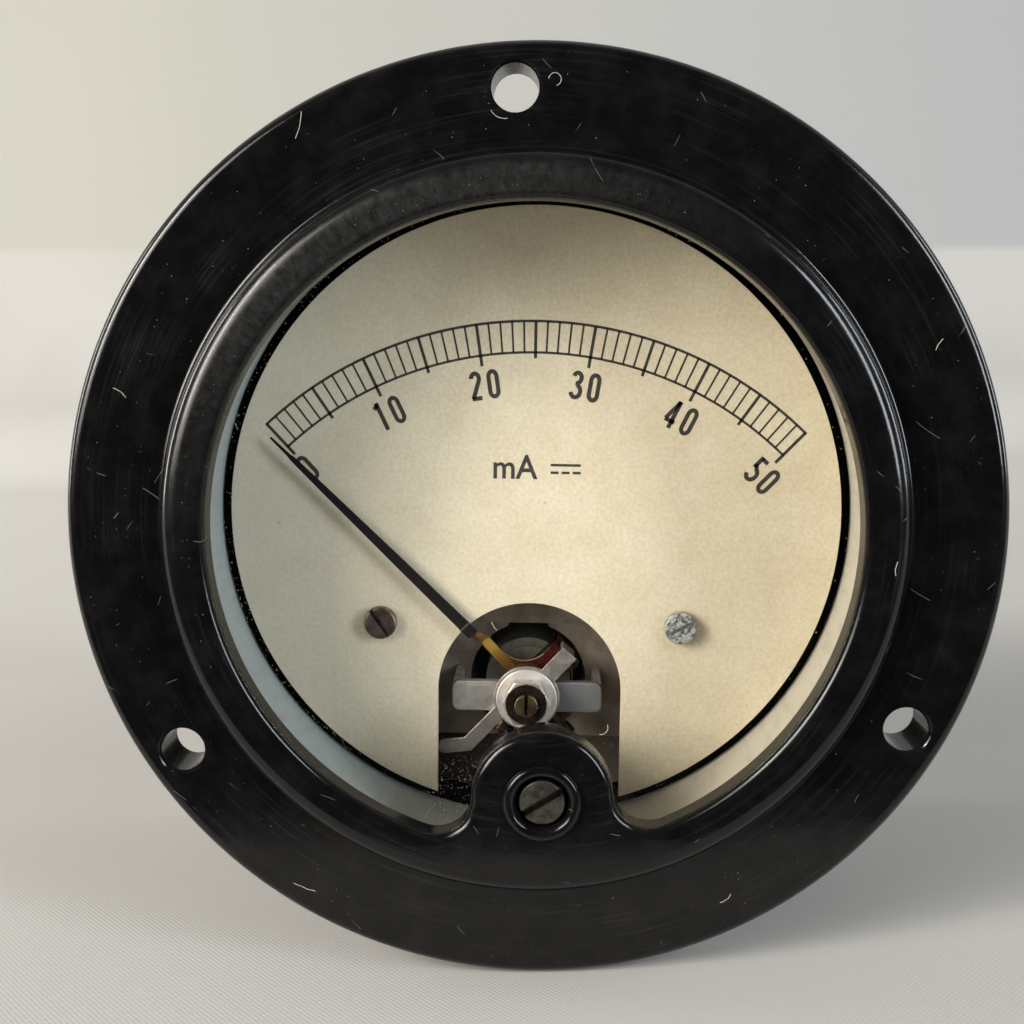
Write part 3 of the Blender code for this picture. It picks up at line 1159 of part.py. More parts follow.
def pointer_root(parent, look):
    """The bent strip that carries the blade: level from the hub, then up past the dial to a foot under the blade."""
    level = (ROOT_FRONT + ROOT_BACK) / 2
    foot_level = BLADE_BACK - STACK_GAP - ROOT_THICKNESS / 2
    drift = -BLADE_ROOT_OFFSET / (POINTER_LENGTH - BLADE_ROOT)
    path = [(0.0, -ROOT_TAIL, level), (ROOT_FLAT_OFFSET, ROOT_FLAT, level),
            (BLADE_ROOT_OFFSET, BLADE_ROOT, foot_level),
            (BLADE_ROOT_OFFSET + drift * ROOT_FOOT, BLADE_ROOT + ROOT_FOOT, foot_level)]
    shape = bmesh.new()
    rows = [[shape.verts.new((x + side * ROOT_WIDTH / 2, y, z)) for side in (-1, 1)] for x, y, z in path]
    for low, high in zip(rows, rows[1:]):
        shape.faces.new((low[0], low[1], high[1], high[0]))
    strip = mesh_object("pointer_root", shape, parent, (0.0, 0.0, 0.0), 0.0)
    thicken = strip.modifiers.new("thickness", "SOLIDIFY")
    thicken.thickness = ROOT_THICKNESS
    thicken.offset = 0.0
    thicken.use_even_offset = True
    join(strip, cylinder("root_hub", ROOT_TAIL, ROOT_BACK + OVERLAP / 2, ROOT_FRONT - OVERLAP / 2, parent))
    cut(strip, cylinder("root_bore", PIVOT_RADIUS + STACK_GAP, ROOT_BACK - OVERRUN, ROOT_FRONT + OVERRUN, parent))
    return finish(strip, look)


def rear_case(parent, movement, look):
    """The cup behind the panel, bored at its mouth for the skirt, with two columns that the movement stands on."""
    inside = CASE_RADIUS - CASE_WALL
    ledge = SKIRT_BACK - SEAT_GAP
    mouth = CASE_SEAT_DEPTH - SEAT_GAP
    profile = rounded_path([
        (0.0, FLOOR_INSIDE, 0.0), (inside, FLOOR_INSIDE, CASE_WALL / 2), (inside, ledge, 0.0),
        (CASE_MOUTH_RADIUS, ledge, 0.0), (CASE_MOUTH_RADIUS, mouth, 0.0), (CASE_RADIUS, mouth, 0.0),
        (CASE_RADIUS, FLOOR_OUTSIDE, CASE_ROUNDING), (0.0, FLOOR_OUTSIDE, 0.0),
    ], closed=False)
    case = turned("rear_case", profile, parent, steps=LARGE_STEPS)
    sink = CASE_FLOOR / 2
    for x in (-COLUMN_SPREAD, COLUMN_SPREAD):
        join(case, cylinder("column", COLUMN_RADIUS, FLOOR_INSIDE - sink, BASE_BACK - SEAT_GAP, movement,
                            (x, COLUMN_ABOVE_PIVOT)))
    for x in (-TERMINAL_SPREAD, TERMINAL_SPREAD):
        join(case, cylinder("terminal_pad", PAD_RADIUS, PAD_BACK, FLOOR_OUTSIDE + sink, parent, (x, 0.0),
                            steps=MEDIUM_STEPS))
    for x in (-COLUMN_SPREAD, COLUMN_SPREAD):
        cut(case, movement_screw_bore(movement, x))
    for x in (-TERMINAL_SPREAD, TERMINAL_SPREAD):
        cut(case, cylinder("stud_hole", STUD_RADIUS + STACK_GAP, PAD_BACK - OVERRUN, FLOOR_INSIDE + OVERRUN, parent,
                           (x, 0.0)))
    for angle in CASE_SCREW_ANGLES:
        cut(case, case_screw_hole(parent, angle))
    return finish(case, look)


def movement_screw_bore(parent, x):
    head = MOVEMENT_SCREW_HEAD_RADIUS + SEAT_GAP
    shank = MOVEMENT_SCREW_RADIUS + STACK_GAP
    seat = FLOOR_OUTSIDE + MOVEMENT_SCREW_HEAD + STACK_GAP
    profile = [(0.0, BASE_BACK), (shank, BASE_BACK), (shank, seat), (head, seat), (head, FLOOR_OUTSIDE - OVERRUN),
               (0.0, FLOOR_OUTSIDE - OVERRUN)]
    return turned("movement_screw_bore", profile, parent, (x, COLUMN_ABOVE_PIVOT, 0.0))


def case_screw_hole(parent, angle):
    """A countersunk hole through the mouth of the cup."""
    shank = CASE_SCREW_RADIUS + STACK_GAP
    head = CASE_SCREW_HEAD_RADIUS + STACK_GAP
    top = CASE_RADIUS + OVERRUN
    bottom = CASE_MOUTH_RADIUS - OVERRUN / 2
    shoulder = CASE_RADIUS - (CASE_SCREW_HEAD_RADIUS - CASE_SCREW_RADIUS)
    profile = [(0.0, top), (head + OVERRUN, top), (shank, shoulder), (shank, bottom), (0.0, bottom)]
    cutter = turned("case_screw_hole", profile, parent)
    lay_radially(cutter, angle, 0.0)
    return cutter


def case_screws(parent, look):
    """Three countersunk screws that hold the cup on the cover's skirt."""
    flush = CASE_RADIUS - STUD_CHAMFER / 4
    shoulder = flush - (CASE_SCREW_HEAD_RADIUS - CASE_SCREW_RADIUS)
    end = POCKET_RADIUS + SEAT_GAP
    for number, angle in enumerate(CASE_SCREW_ANGLES, 1):
        profile = [(0.0, flush), (CASE_SCREW_HEAD_RADIUS, flush), (CASE_SCREW_RADIUS, shoulder),
                   (CASE_SCREW_RADIUS, end), (0.0, end)]
        made = turned(f"case_screw_{number}", profile, parent)
        depth = SLOT_DEPTH_SHARE * (flush - shoulder)
        width = 2 * CASE_SCREW_HEAD_RADIUS
        size = (width + 2 * OVERRUN, width * SLOT_WIDTH_SHARE, depth + OVERRUN)
        slot = box(f"case_slot_{number}", size, (0.0, 0.0, flush - depth + size[2] / 2), parent)
        for piece in (made, slot):
            lay_radially(piece, angle, 0.0)
        cut(made, slot)
        finish(made, look)


def movement_screws(parent, look):
    length = BASE_FRONT - FLOOR_OUTSIDE - MOVEMENT_SCREW_HEAD
    for side, x in (("left", -COLUMN_SPREAD), ("right", COLUMN_SPREAD)):
        place = (x, COLUMN_ABOVE_PIVOT, FLOOR_OUTSIDE + MOVEMENT_SCREW_HEAD)
        holder = empty("movement_screw_axes_" + side, parent, place)
        holder.rotation_euler = (math.pi, 0.0, 0.0)
        made = screw("movement_screw_" + side, MOVEMENT_SCREW_HEAD_RADIUS, MOVEMENT_SCREW_HEAD,
                     MOVEMENT_SCREW_RADIUS, length, holder, (0.0, 0.0, 0.0), 0.0)
        finish(made, look)


def terminals(parent, stud_look, nut_look, lug_look):
    """Two studs through the floor of the cup, each with a lug and nut inside, and a washer and nut outside."""
    lug_back = FLOOR_INSIDE + STACK_GAP
    lug_front = lug_back + LUG_THICKNESS
    nut_back = lug_front + STACK_GAP
    nut_front = nut_back + INNER_NUT_THICKNESS
    stud_front = nut_front + STUD_INSIDE
    washer_front = PAD_BACK - STACK_GAP
    washer_back = washer_front - TERMINAL_WASHER_THICKNESS
    outer_front = washer_back - STACK_GAP
    outer_back = outer_front - TERMINAL_NUT_THICKNESS
    bore = STUD_RADIUS + STACK_GAP
    for side, x, inwards in (("left", -TERMINAL_SPREAD, 1), ("right", TERMINAL_SPREAD, -1)):
        stud_back = stud_front - STUD_LENGTH
        tip = STUD_RADIUS - STUD_CHAMFER
        profile = [(0.0, stud_front), (tip, stud_front), (STUD_RADIUS, stud_front - STUD_CHAMFER),
                   (STUD_RADIUS, stud_back + STUD_CHAMFER), (tip, stud_back), (0.0, stud_back)]
        finish(turned("terminal_stud_" + side, profile, parent, (x, 0.0, 0.0)), stud_look)
        finish(hex_nut("terminal_nut_inner_" + side, TERMINAL_NUT_FLATS, nut_back, nut_front, bore, parent, (x, 0.0)),
               nut_look)
        finish(ring("terminal_washer_" + side, bore, TERMINAL_WASHER_RADIUS, washer_back, washer_front, parent,
                    (x, 0.0)), nut_look)
        finish(hex_nut("terminal_nut_outer_" + side, TERMINAL_NUT_FLATS, outer_back, outer_front, bore, parent,
                       (x, 0.0), chamfer_back=True), nut_look)
        tail = ([(0.0, 0.0), (inwards * LUG_TAIL, 0.0)], LUG_TAIL_WIDTH, True)
        loops = [hub_with_limbs(LUG_RADIUS, [tail]), circle((0.0, 0.0), bore, SMALL_STEPS)]
        finish(plate("solder_lug_" + side, loops, lug_back, lug_front, parent, (x, 0.0)), lug_look)


def shunt(parent, bobbin_look, winding_look):
    """The shunt on the floor of the cup: a spool with its winding between the flanges."""
    place = (0.0, BOBBIN_ABOVE_CENTRE, 0.0)
    back = FLOOR_INSIDE + STACK_GAP
    front = back + BOBBIN_HEIGHT
    profile = [(0.0, front), (BOBBIN_RADIUS, front), (BOBBIN_RADIUS, front - BOBBIN_FLANGE),
               (BOBBIN_CORE_RADIUS, front - BOBBIN_FLANGE), (BOBBIN_CORE_RADIUS, back + BOBBIN_FLANGE),
               (BOBBIN_RADIUS, back + BOBBIN_FLANGE), (BOBBIN_RADIUS, back), (0.0, back)]
    finish(turned("shunt_bobbin", profile, parent, place), bobbin_look)
    room = BOBBIN_FLANGE + STACK_GAP
    winding = ring("shunt_winding", BOBBIN_CORE_RADIUS + STACK_GAP, SHUNT_WINDING_RADIUS, back + room, front - room,
                   parent, place[:2])
    finish(winding, winding_look)


def smooth_route(places, steps):
    """Points along a smooth curve through the given places."""
    places = [Vector(place) for place in places]
    padded = [2 * places[0] - places[1], *places, 2 * places[-1] - places[-2]]
    points = []
    for p0, p1, p2, p3 in zip(padded, padded[1:], padded[2:], padded[3:]):
        for step in range(steps):
            t = step / steps
            points.append(tuple(0.5 * (2 * p1 + (p2 - p0) * t + (2 * p0 - 5 * p1 + 4 * p2 - p3) * t**2
                                       + (3 * p1 - p0 - 3 * p2 + p3) * t**3)))
    return [*points, tuple(places[-1])]


def leads(parent, look):
    """Two insulated wires: from the left lug to the rear spring arm, and from the right lug to the base plate."""
    lug_level = FLOOR_INSIDE + STACK_GAP + LUG_THICKNESS + SEAT_GAP
    lug_x = TERMINAL_SPREAD - LUG_TAIL
    arm_x, arm_y = turned_point(PIVOT[0] - REAR_ARM_TAIL, PIVOT[1] + REAR_ARM_TAIL, DIAL_TURN)
    arm_level = REAR_ARM_BACK - SEAT_GAP
    plate_x, plate_y = turned_point(PIVOT[0] + LEAD_END_ASIDE, LEAD_END_PAST_COLUMNS - COLUMN_BELOW_CENTRE, DIAL_TURN)
    plate_level = BASE_BACK - SEAT_GAP
    for side, start_x, x, y, level in (("left", -lug_x, arm_x, arm_y, arm_level),
                                       ("right", lug_x, plate_x, plate_y, plate_level)):
        route = [(start_x, 0.0, lug_level), (start_x, 0.0, lug_level + LEAD_RISE / 2),
                 ((start_x + x) / 2, y / 2, (lug_level + level) / 2), (x, y, level - LEAD_RISE / 2), (x, y, level)]
        finish(tube("lead_" + side, smooth_route(route, CORNER_STEPS), LEAD_RADIUS, parent), look)


def build_milliammeter():
    phenolic = material("black_phenolic", (0.012, 0.011, 0.011), 0.32)
    glass = material("window_glass", (0.93, 0.95, 0.93), 0.03, see_through=1.0)
    card = material("liner_card", (0.60, 0.58, 0.48), 0.8)
    paper = material("dial_paper", (0.72, 0.66, 0.52), 0.75)
    dull_steel = material("dull_steel", (0.34, 0.31, 0.28), 0.5, metallic=0.8)
    corroded_steel = material("corroded_steel", (0.42, 0.41, 0.37), 0.6, metallic=0.6)
    bright_steel = material("bright_steel", (0.72, 0.71, 0.69), 0.3, metallic=1.0)
    nickel = material("nickel", (0.48, 0.46, 0.43), 0.4, metallic=0.9)
    aluminium = material("aluminium", (0.62, 0.62, 0.62), 0.42, metallic=0.9)
    brass = material("brass", (0.55, 0.40, 0.16), 0.4, metallic=0.9)
    brown_brass = material("brown_brass", (0.22, 0.15, 0.10), 0.5, metallic=0.6)
    magnet_steel = material("magnet_steel", (0.16, 0.15, 0.15), 0.55, metallic=0.6)
    soft_iron = material("soft_iron", (0.30, 0.28, 0.26), 0.5, metallic=0.7)
    blackened = material("blackened_aluminium", (0.02, 0.02, 0.02), 0.5, metallic=0.2)
    shellac = material("amber_shellac", (0.45, 0.25, 0.05), 0.35)
    red_wire = material("red_wire", (0.25, 0.03, 0.015), 0.4)
    bronze = material("spring_bronze", (0.50, 0.35, 0.16), 0.35, metallic=1.0)
    fibre = material("red_fibre", (0.30, 0.08, 0.05), 0.7)
    cotton = material("cotton_lead", (0.42, 0.34, 0.12), 0.9)

    cover_axes = empty("cover_axes", None)
    cover_axes.rotation_euler = (math.pi / 2, 0.0, 0.0)
    zero_axes = empty("zero_axes", cover_axes, (0.0, -BOSS_DROP, 0.0))
    dial_axes = empty("dial_axes", cover_axes, turn=DIAL_TURN)
    pivot_axes = empty("pivot_axes", dial_axes, (*PIVOT, 0.0))
    pointer_axes = empty("pointer_axes", pivot_axes, turn=-POINTER_REST)

    front_cover(cover_axes, phenolic)
    window_glass(cover_axes, glass)
    dial_liner(cover_axes, card)
    zero_screw(zero_axes, nickel)
    zero_screw_clip(zero_axes, bright_steel)
    dial_plate(dial_axes, paper)
    dial_screws(pivot_axes, (dull_steel, corroded_steel))

    movement_plate(pivot_axes, soft_iron)
    yoke_screws(pivot_axes, dull_steel)
    magnet(pivot_axes, magnet_steel)
    pole_shoes(pivot_axes, soft_iron)
    base_plate(pivot_axes, brass)
    core(pivot_axes, soft_iron)
    core_bracket(pivot_axes, brass)
    bridge("front_bridge", BRIDGE_FRONT, BRIDGE_BACK, SHOE_FRONT + STACK_GAP, LEG_INSIDE, pivot_axes, aluminium)
    bridge("rear_bridge", REAR_BRIDGE_FRONT, REAR_BRIDGE_BACK, BASE_BACK - STACK_GAP, REAR_LEG_INSIDE, pivot_axes,
           brass)
    jewel_screw("front_jewel_screw", JEWEL_FRONT, JEWEL_BACK, pivot_axes, brown_brass)
    jewel_screw("rear_jewel_screw", REAR_JEWEL_BACK, REAR_JEWEL_FRONT, pivot_axes, brown_brass)
    finish(hex_nut("front_jewel_nut", NUT_FLATS, NUT_BACK, NUT_FRONT, JEWEL_RADIUS + STACK_GAP, pivot_axes,
                   chamfer_radius=NUT_CHAMFER_RADIUS), nickel)
    finish(hex_nut("rear_jewel_nut", NUT_FLATS, REAR_NUT_BACK, REAR_NUT_FRONT, JEWEL_RADIUS + STACK_GAP, pivot_axes,
                   chamfer_radius=NUT_CHAMFER_RADIUS, chamfer_back=True), nickel)
    lever_washer(pivot_axes, bright_steel)
    zero_lever(pivot_axes, nickel)
    rear_spring_arm(pivot_axes, nickel)

    moving_coil(pointer_axes, aluminium, red_wire)
    pivots(pointer_axes, bright_steel)
    balance_arms(pointer_axes, brass, brown_brass)
    hairsprings(pointer_axes, bronze)
    pointer_root(pointer_axes, shellac)
    pointer_blade(pointer_axes, blackened)

    rear_case(cover_axes, pivot_axes, phenolic)
    case_screws(cover_axes, bright_steel)
    movement_screws(pivot_axes, dull_steel)
    terminals(cover_axes, brass, bright_steel, brass)
    shunt(cover_axes, fibre, cotton)
    leads(cover_axes, cotton)


build_milliammeter()
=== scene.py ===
"""Looks of the round panel milliammeter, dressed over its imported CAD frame.

Pieces are laid out in the meter's own axes in millimetres: x right and y up as the dial is read, z out of the front,
zero at the back face of the flange. They turn into the frame's metres as they are made.
"""

import math
import random

import bmesh
import bpy
from mathutils import Matrix, Vector, geometry


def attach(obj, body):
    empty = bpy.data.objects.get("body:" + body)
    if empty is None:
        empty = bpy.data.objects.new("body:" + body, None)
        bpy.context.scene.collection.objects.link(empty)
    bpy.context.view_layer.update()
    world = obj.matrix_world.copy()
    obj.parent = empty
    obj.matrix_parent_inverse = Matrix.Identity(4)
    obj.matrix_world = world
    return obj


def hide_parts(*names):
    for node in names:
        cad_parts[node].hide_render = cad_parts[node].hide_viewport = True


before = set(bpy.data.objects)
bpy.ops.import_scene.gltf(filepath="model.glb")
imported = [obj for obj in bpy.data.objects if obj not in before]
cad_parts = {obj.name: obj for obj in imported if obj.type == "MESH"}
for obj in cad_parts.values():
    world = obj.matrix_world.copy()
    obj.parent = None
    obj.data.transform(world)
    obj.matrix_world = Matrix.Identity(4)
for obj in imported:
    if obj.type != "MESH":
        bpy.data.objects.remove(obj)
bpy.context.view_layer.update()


def turn(degrees, axis="Z"):
    return Matrix.Rotation(math.radians(degrees), 4, axis)


def shift(x, y, z=0.0):
    return Matrix.Translation((x, y, z))


def turned_point(x, y, degrees):
    a = math.radians(degrees)
    return (x * math.cos(a) - y * math.sin(a), x * math.sin(a) + y * math.cos(a))


# Axes of the groups of pieces
WORLD = Matrix(((0.001, 0, 0, 0), (0, 0, -0.001, 0), (0, 0.001, 0, 0), (0, 0, 0, 1)))
UPRIGHT = Matrix(((1, 0, 0, 0), (0, 0, -1, 0), (0, 1, 0, 0), (0, 0, 0, 1)))
DIAL_TURN, POINTER_TURN = -2.9, 43.54
ZERO_AT, PIVOT_IN_DIAL = (0.0, -24.9), (-0.53, -19.21811)
COVER = Matrix.Identity(4)
ZERO = shift(*ZERO_AT)
DIAL = turn(DIAL_TURN)
PIVOT = DIAL @ shift(*PIVOT_IN_DIAL)
POINTER = PIVOT @ turn(POINTER_TURN)
SCALE = shift(-1.184, -19.601) @ turn(-3.12)
ZERO_FROM_PIVOT = Vector(turned_point(*ZERO_AT, -DIAL_TURN)) - Vector(PIVOT_IN_DIAL)
SCREWS_ROUND_CASE = (30.0, 150.0, 270.0)
MOVEMENT_SCREW_X, MOVEMENT_SCREW_Y = 12.0, -PIVOT_IN_DIAL[1] - 9.7
TERMINAL_X = 12.7

# Levels
FLANGE_FRONT, BEZEL_FACE, LIP_BACK = 5.4, 8.35, 5.6
GLASS_BACK, GLASS_FRONT = 3.05, 5.45
LINER_FRONT, LINER_BACK = 2.9, -5.5
DIAL_FRONT, DIAL_BACK = -4.3, -5.1
INK_FRONT = DIAL_FRONT + 0.012
SKIRT_BACK, CASE_SCREW_LEVEL, CASE_BACK = -7.0, -4.0, -38.35
BLADE_BACK = -3.35
BAR_BACK, BAR_FRONT = -7.15, -6.15
NUT_BACK, NUT_FRONT, JEWEL_FRONT = -5.0, -3.4, -2.7
LEVER_BACK, LEVER_FRONT = -6.0, -5.6
CORE_FRONT, CORE_BACK = -12.65, -22.25
WINDING_FRONT, WINDING_BACK = -11.25, -23.65

# Radii
OPENING, BOSS_RADIUS, BOSS_FILLET = 29.9, 6.7, 3.4
BEZEL, FLANGE, MOUNT_RING = 34.3, 43.8, 39.7
SKIRT, POCKET, CASE = 33.6, 32.4, 35.0
DIAL_RADIUS, ARCH_RADIUS, GLASS_RADIUS = 30.6, 9.4, 32.1
SCALE_HALF, OUTER_ARC, INNER_ARC = 43.05, 39.14, 36.09
JEWEL_BORE, HUB = 1.35, 3.4

# Front spring arm of the lever, and the shellac over the winding
SPRING_ARM_ANGLE, SPRING_ARM_WIDTH, TAB_INSIDE = 42.0, 1.83, 6.06
WEB_CENTRE, WEB_RADIUS = (3.73, 4.55), 3.2
WIRE_PITCH, WIRE_RADIUS, FORMER_HALF = 0.2, 0.105, 5.45


# ---------------------------------------------------------------- materials

class Nodes:
    """A short way to write a node tree. An input takes a socket, a number or a colour."""

    def __init__(self, name, store=bpy.data.materials, shader="Principled BSDF"):
        self.material = store.new(name)
        self.material.use_nodes = True
        self.tree = self.material.node_tree
        self.shader = self.tree.nodes[shader]
        self.place = None

    def put(self, socket, value):
        if isinstance(value, bpy.types.NodeSocket):
            self.tree.links.new(value, socket)
        elif isinstance(value, tuple) and socket.type == "RGBA":
            socket.default_value = (*value, 1.0)
        else:
            socket.default_value = value

    def node(self, kind, inputs, output=0, **settings):
        made = self.tree.nodes.new("ShaderNode" + kind)
        for name, value in settings.items():
            setattr(made, name, value)
        for key, value in inputs.items():
            self.put(made.inputs[key], value)
        return made.outputs[output]

    def at(self):
        """Object coordinates, in millimetres."""
        if self.place is None:
            metres = self.node("TexCoord", {}, "Object")
            self.place = self.node("VectorMath", {0: metres, "Scale": 1000.0}, operation="SCALE")
        return self.place

    def xyz(self, vector=None):
        made = self.tree.nodes.new("ShaderNodeSeparateXYZ")
        self.put(made.inputs[0], vector or self.at())
        return tuple(made.outputs)

    def vector(self, x, y, z):
        return self.node("CombineXYZ", {0: x, 1: y, 2: z})

    def length(self, x, y):
        return self.node("VectorMath", {0: self.vector(x, y, 0.0)}, "Value", operation="LENGTH")

    def polar(self):
        """Angle and radius about the meter's axis, and the level in front of the flange's back."""
        x, y, z = self.xyz()
        return self.math("ARCTAN2", z, x), self.length(x, z), self.mul(y, -1.0)

    def noise(self, scale, detail=2.0, roughness=0.5, vector=None, distortion=0.0):
        return self.node("TexNoise", {"Vector": vector or self.at(), "Scale": scale, "Detail": detail,
                                      "Roughness": roughness, "Distortion": distortion}, "Fac")

    def voronoi(self, scale):
        return self.node("TexVoronoi", {"Vector": self.at(), "Scale": scale}, "Distance")

    def ramp(self, value, *stops):
        """Stops are (position, number or colour)."""
        made = self.tree.nodes.new("ShaderNodeValToRGB")
        self.put(made.inputs["Fac"], value)
        points = made.color_ramp.elements
        while len(points) < len(stops):
            points.new(0.5)
        for point, (position, colour) in zip(points, stops):
            point.position = position
            point.color = (*colour, 1.0) if isinstance(colour, tuple) else (colour, colour, colour, 1.0)
        return made.outputs["Color"]

    def math(self, operation, a, b=0.0, c=0.0, clamp=False):
        return self.node("Math", {0: a, 1: b, 2: c}, operation=operation, use_clamp=clamp)

    def mul(self, a, b, clamp=False):
        return self.math("MULTIPLY", a, b, clamp=clamp)

    def add(self, a, b):
        return self.math("ADD", a, b)

    def sub(self, a, b):
        return self.math("SUBTRACT", a, b)

    def fma(self, a, b, c, clamp=False):
        """The product of a and b, and c added."""
        return self.math("MULTIPLY_ADD", a, b, c, clamp)

    def greater(self, a, b):
        return self.math("MAXIMUM", a, b)

    def saw(self, value):
        """How far a value is from the middle between two whole numbers."""
        return self.math("ABSOLUTE", self.sub(self.math("FRACT", value), 0.5))

    def mix(self, factor, a, b):
        return self.node("Mix", {"Factor": factor, "A": a, "B": b}, "Result", data_type="RGBA")

    def band(self, value, low, rise, fall, high):
        """One between rise and fall, and none outside low and high."""
        up = self.mul(self.sub(value, low), 1.0 / (rise - low), clamp=True)
        down = self.mul(self.sub(high, value), 1.0 / (high - fall), clamp=True)
        return self.mul(up, down)

    def flecks(self, scale, size, patch_scale, start, full):
        """Small specks in patches."""
        dots = self.ramp(self.voronoi(scale), (0.0, 1.0), (size * 0.7, 1.0), (size, 0.0))
        return self.mul(dots, self.ramp(self.noise(patch_scale), (start, 0.0), (full, 1.0)))

    def bump(self, height, strength, distance=0.1):
        normal = self.node("Bump", {"Height": height, "Strength": strength, "Distance": distance * 0.001})
        self.put(self.shader.inputs["Normal"], normal)

    def set(self, **values):
        for name, value in values.items():
            self.put(self.shader.inputs[name.replace("_", " ").title().replace("Ior", "IOR")], value)


def phenolic():
    """Black moulding: satin from handling, brushed round the flange, with scuffs, dust and a dusty bezel face."""
    n = Nodes("black_phenolic")
    angle, radius, level = n.polar()
    wear = n.noise(0.12, 3.0)
    arcs = n.noise(1.0, 3.0, 0.6, n.vector(n.mul(angle, 3.0), n.mul(radius, 3.2), level))
    arcs = n.mul(n.ramp(arcs, (0.52, 0.0), (0.80, 1.0)), n.ramp(wear, (0.40, 0.1), (0.62, 1.0)))
    combed = n.noise(1.0, 4.0, 0.75, n.vector(n.mul(angle, 46.0), n.mul(radius, 0.9), level))
    face = n.mul(n.band(radius, 29.6, 30.6, 32.6, 33.6), n.math("GREATER_THAN", level, 7.4))
    side = n.ramp(n.fma(n.sub(angle, 1.9), 0.25, 0.5), (0.22, 0.0), (0.42, 1.0), (0.62, 1.0), (0.80, 0.12))
    film = n.mul(n.mul(face, side), n.ramp(combed, (0.30, 0.25), (0.75, 1.0)))
    dirt = n.greater(n.flecks(1.25, 0.045, 0.09, 0.50, 0.62), n.flecks(3.3, 0.05, 0.21, 0.52, 0.66))
    scratch = scratches(n)
    marks = n.greater(n.mul(dirt, 0.75), scratch)
    base = n.ramp(n.noise(0.35, 4.0, 0.62), (0.42, (0.0030, 0.0029, 0.0030)), (0.75, (0.0075, 0.0068, 0.0068)))
    base = n.mix(n.mul(arcs, 0.5), base, (0.024, 0.023, 0.022))
    base = n.mix(n.mul(film, 0.5), base, (0.040, 0.039, 0.036))
    rough = n.ramp(wear, (0.3, 0.11), (0.7, 0.20))
    rough = n.mix(n.greater(n.mul(film, 0.8), n.mul(arcs, 0.2)), rough, (0.55, 0.55, 0.55))
    n.set(base_color=n.mix(marks, base, (0.22, 0.21, 0.20)), roughness=n.mix(marks, rough, (0.7, 0.7, 0.7)),
          specular_ior_level=0.32)
    height = n.add(n.mul(n.noise(1.4, 3.0, 0.6), 0.6), n.mul(combed, 0.1))
    n.bump(n.sub(height, n.mul(scratch, 0.3)), 0.05, 0.25)
    return n.material


def scratches(n):
    """Thin straight scuffs in a few directions, broken up by noise."""
    total = None
    for index, (angle, pitch, cover) in enumerate(((0.9, 0.17, 0.70), (-0.55, 0.23, 0.72), (2.1, 0.13, 0.735))):
        vector = n.node("Mapping", {"Vector": n.at(), "Rotation": (0.0, angle, 0.3 * index),
                                    "Location": (7.7 * index, 3.1, 1.9 * index)})
        bent = n.noise(0.08, 1.0, vector=vector)
        line = n.add(n.mul(n.xyz(vector)[0], pitch), n.mul(bent, 1.3))
        thin = n.ramp(n.saw(line), (0.0, 1.0), (0.006, 0.0))
        broken = n.ramp(n.noise(0.30, vector=vector), (cover - 0.06, 0.0), (cover - 0.03, 0.55))
        part = n.mul(thin, broken)
        total = part if total is None else n.greater(total, part)
    return total


def window_glass():
    """Clear glass: it reflects more towards grazing angles and lets the rest straight through."""
    n = Nodes("window_glass")
    grazing = n.math("POWER", n.node("LayerWeight", {}, "Facing"), 5.0)
    n.set(base_color=(0.93, 0.97, 0.95), metallic=1.0, roughness=n.ramp(n.noise(0.35), (0.4, 0.01), (0.7, 0.05)),
          alpha=n.fma(grazing, 0.965, 0.032))
    n.material.surface_render_method = "BLENDED"
    return n.material


def paper():
    """Cream dial paper with fibre and foxing, and a greyer left side that is painted shade."""
    n = Nodes("dial_paper")
    x, y, z = n.xyz()
    fibre = n.noise(2.6, 4.0, 0.7)
    age = n.ramp(n.noise(0.20, 3.0, 0.55), (0.30, (0.760, 0.655, 0.455)), (0.70, (0.830, 0.735, 0.535)))
    grain = n.ramp(fibre, (0.35, 0.86), (0.62, 1.0))
    toned = n.node("Mix", {"Factor": 1.0, "A": age, "B": grain}, "Result", data_type="RGBA", blend_type="MULTIPLY")
    # Painted shade: the paper is mixed towards grey further to the left.
    left = n.mul(n.add(n.mul(x, -1.0), -4.0), 0.035, clamp=True)
    toned = n.mix(n.mul(left, 0.55), toned, (0.52, 0.52, 0.46))
    spots = n.ramp(n.voronoi(0.33), (0.0, 1.0), (0.045, 0.55), (0.075, 0.0))
    spot_patch = n.ramp(n.noise(0.27), (0.53, 0.0), (0.66, 0.45))
    toned = n.mix(n.mul(spots, spot_patch), toned, (0.30, 0.22, 0.12))
    n.set(base_color=toned, roughness=0.82, specular_ior_level=0.3)
    n.bump(fibre, 0.75, 0.06)
    return n.material


def ink():
    n = Nodes("printing_ink")
    n.set(base_color=n.ramp(n.noise(2.2, 3.0), (0.3, (0.030, 0.027, 0.022)), (0.75, (0.062, 0.055, 0.045))),
          roughness=0.75)
    return n.material


def lower_card():
    """The card below the pole shoes: maroon-black on the left, dusty grey-brown on the right."""
    n = Nodes("lower_card")
    x, y, z = n.xyz()
    side = n.fma(x, 0.08, 0.5, clamp=True)
    base = n.ramp(side, (0.10, (0.050, 0.024, 0.022)), (0.45, (0.09, 0.065, 0.05)), (0.80, (0.17, 0.145, 0.105)))
    # Painted shade: a darker tone mixed in by a ramp over the depth coordinate y.
    depth = n.ramp(n.fma(y, 0.1, 1.4), (0.2, 1.0), (0.75, 0.0))
    base = n.mix(n.mul(depth, 0.6), base, (0.020, 0.014, 0.012))
    dirt = n.ramp(n.noise(0.5, 4.0, 0.6), (0.40, 0.0), (0.70, 0.45))
    base = n.mix(n.mul(dirt, side), base, (0.11, 0.095, 0.07))
    grains = n.ramp(n.noise(7.0), (0.62, 0.0), (0.70, 0.7))
    n.set(base_color=n.mix(grains, base, (0.42, 0.39, 0.33)), roughness=0.8)
    n.bump(dirt, 0.3, 0.05)
    return n.material


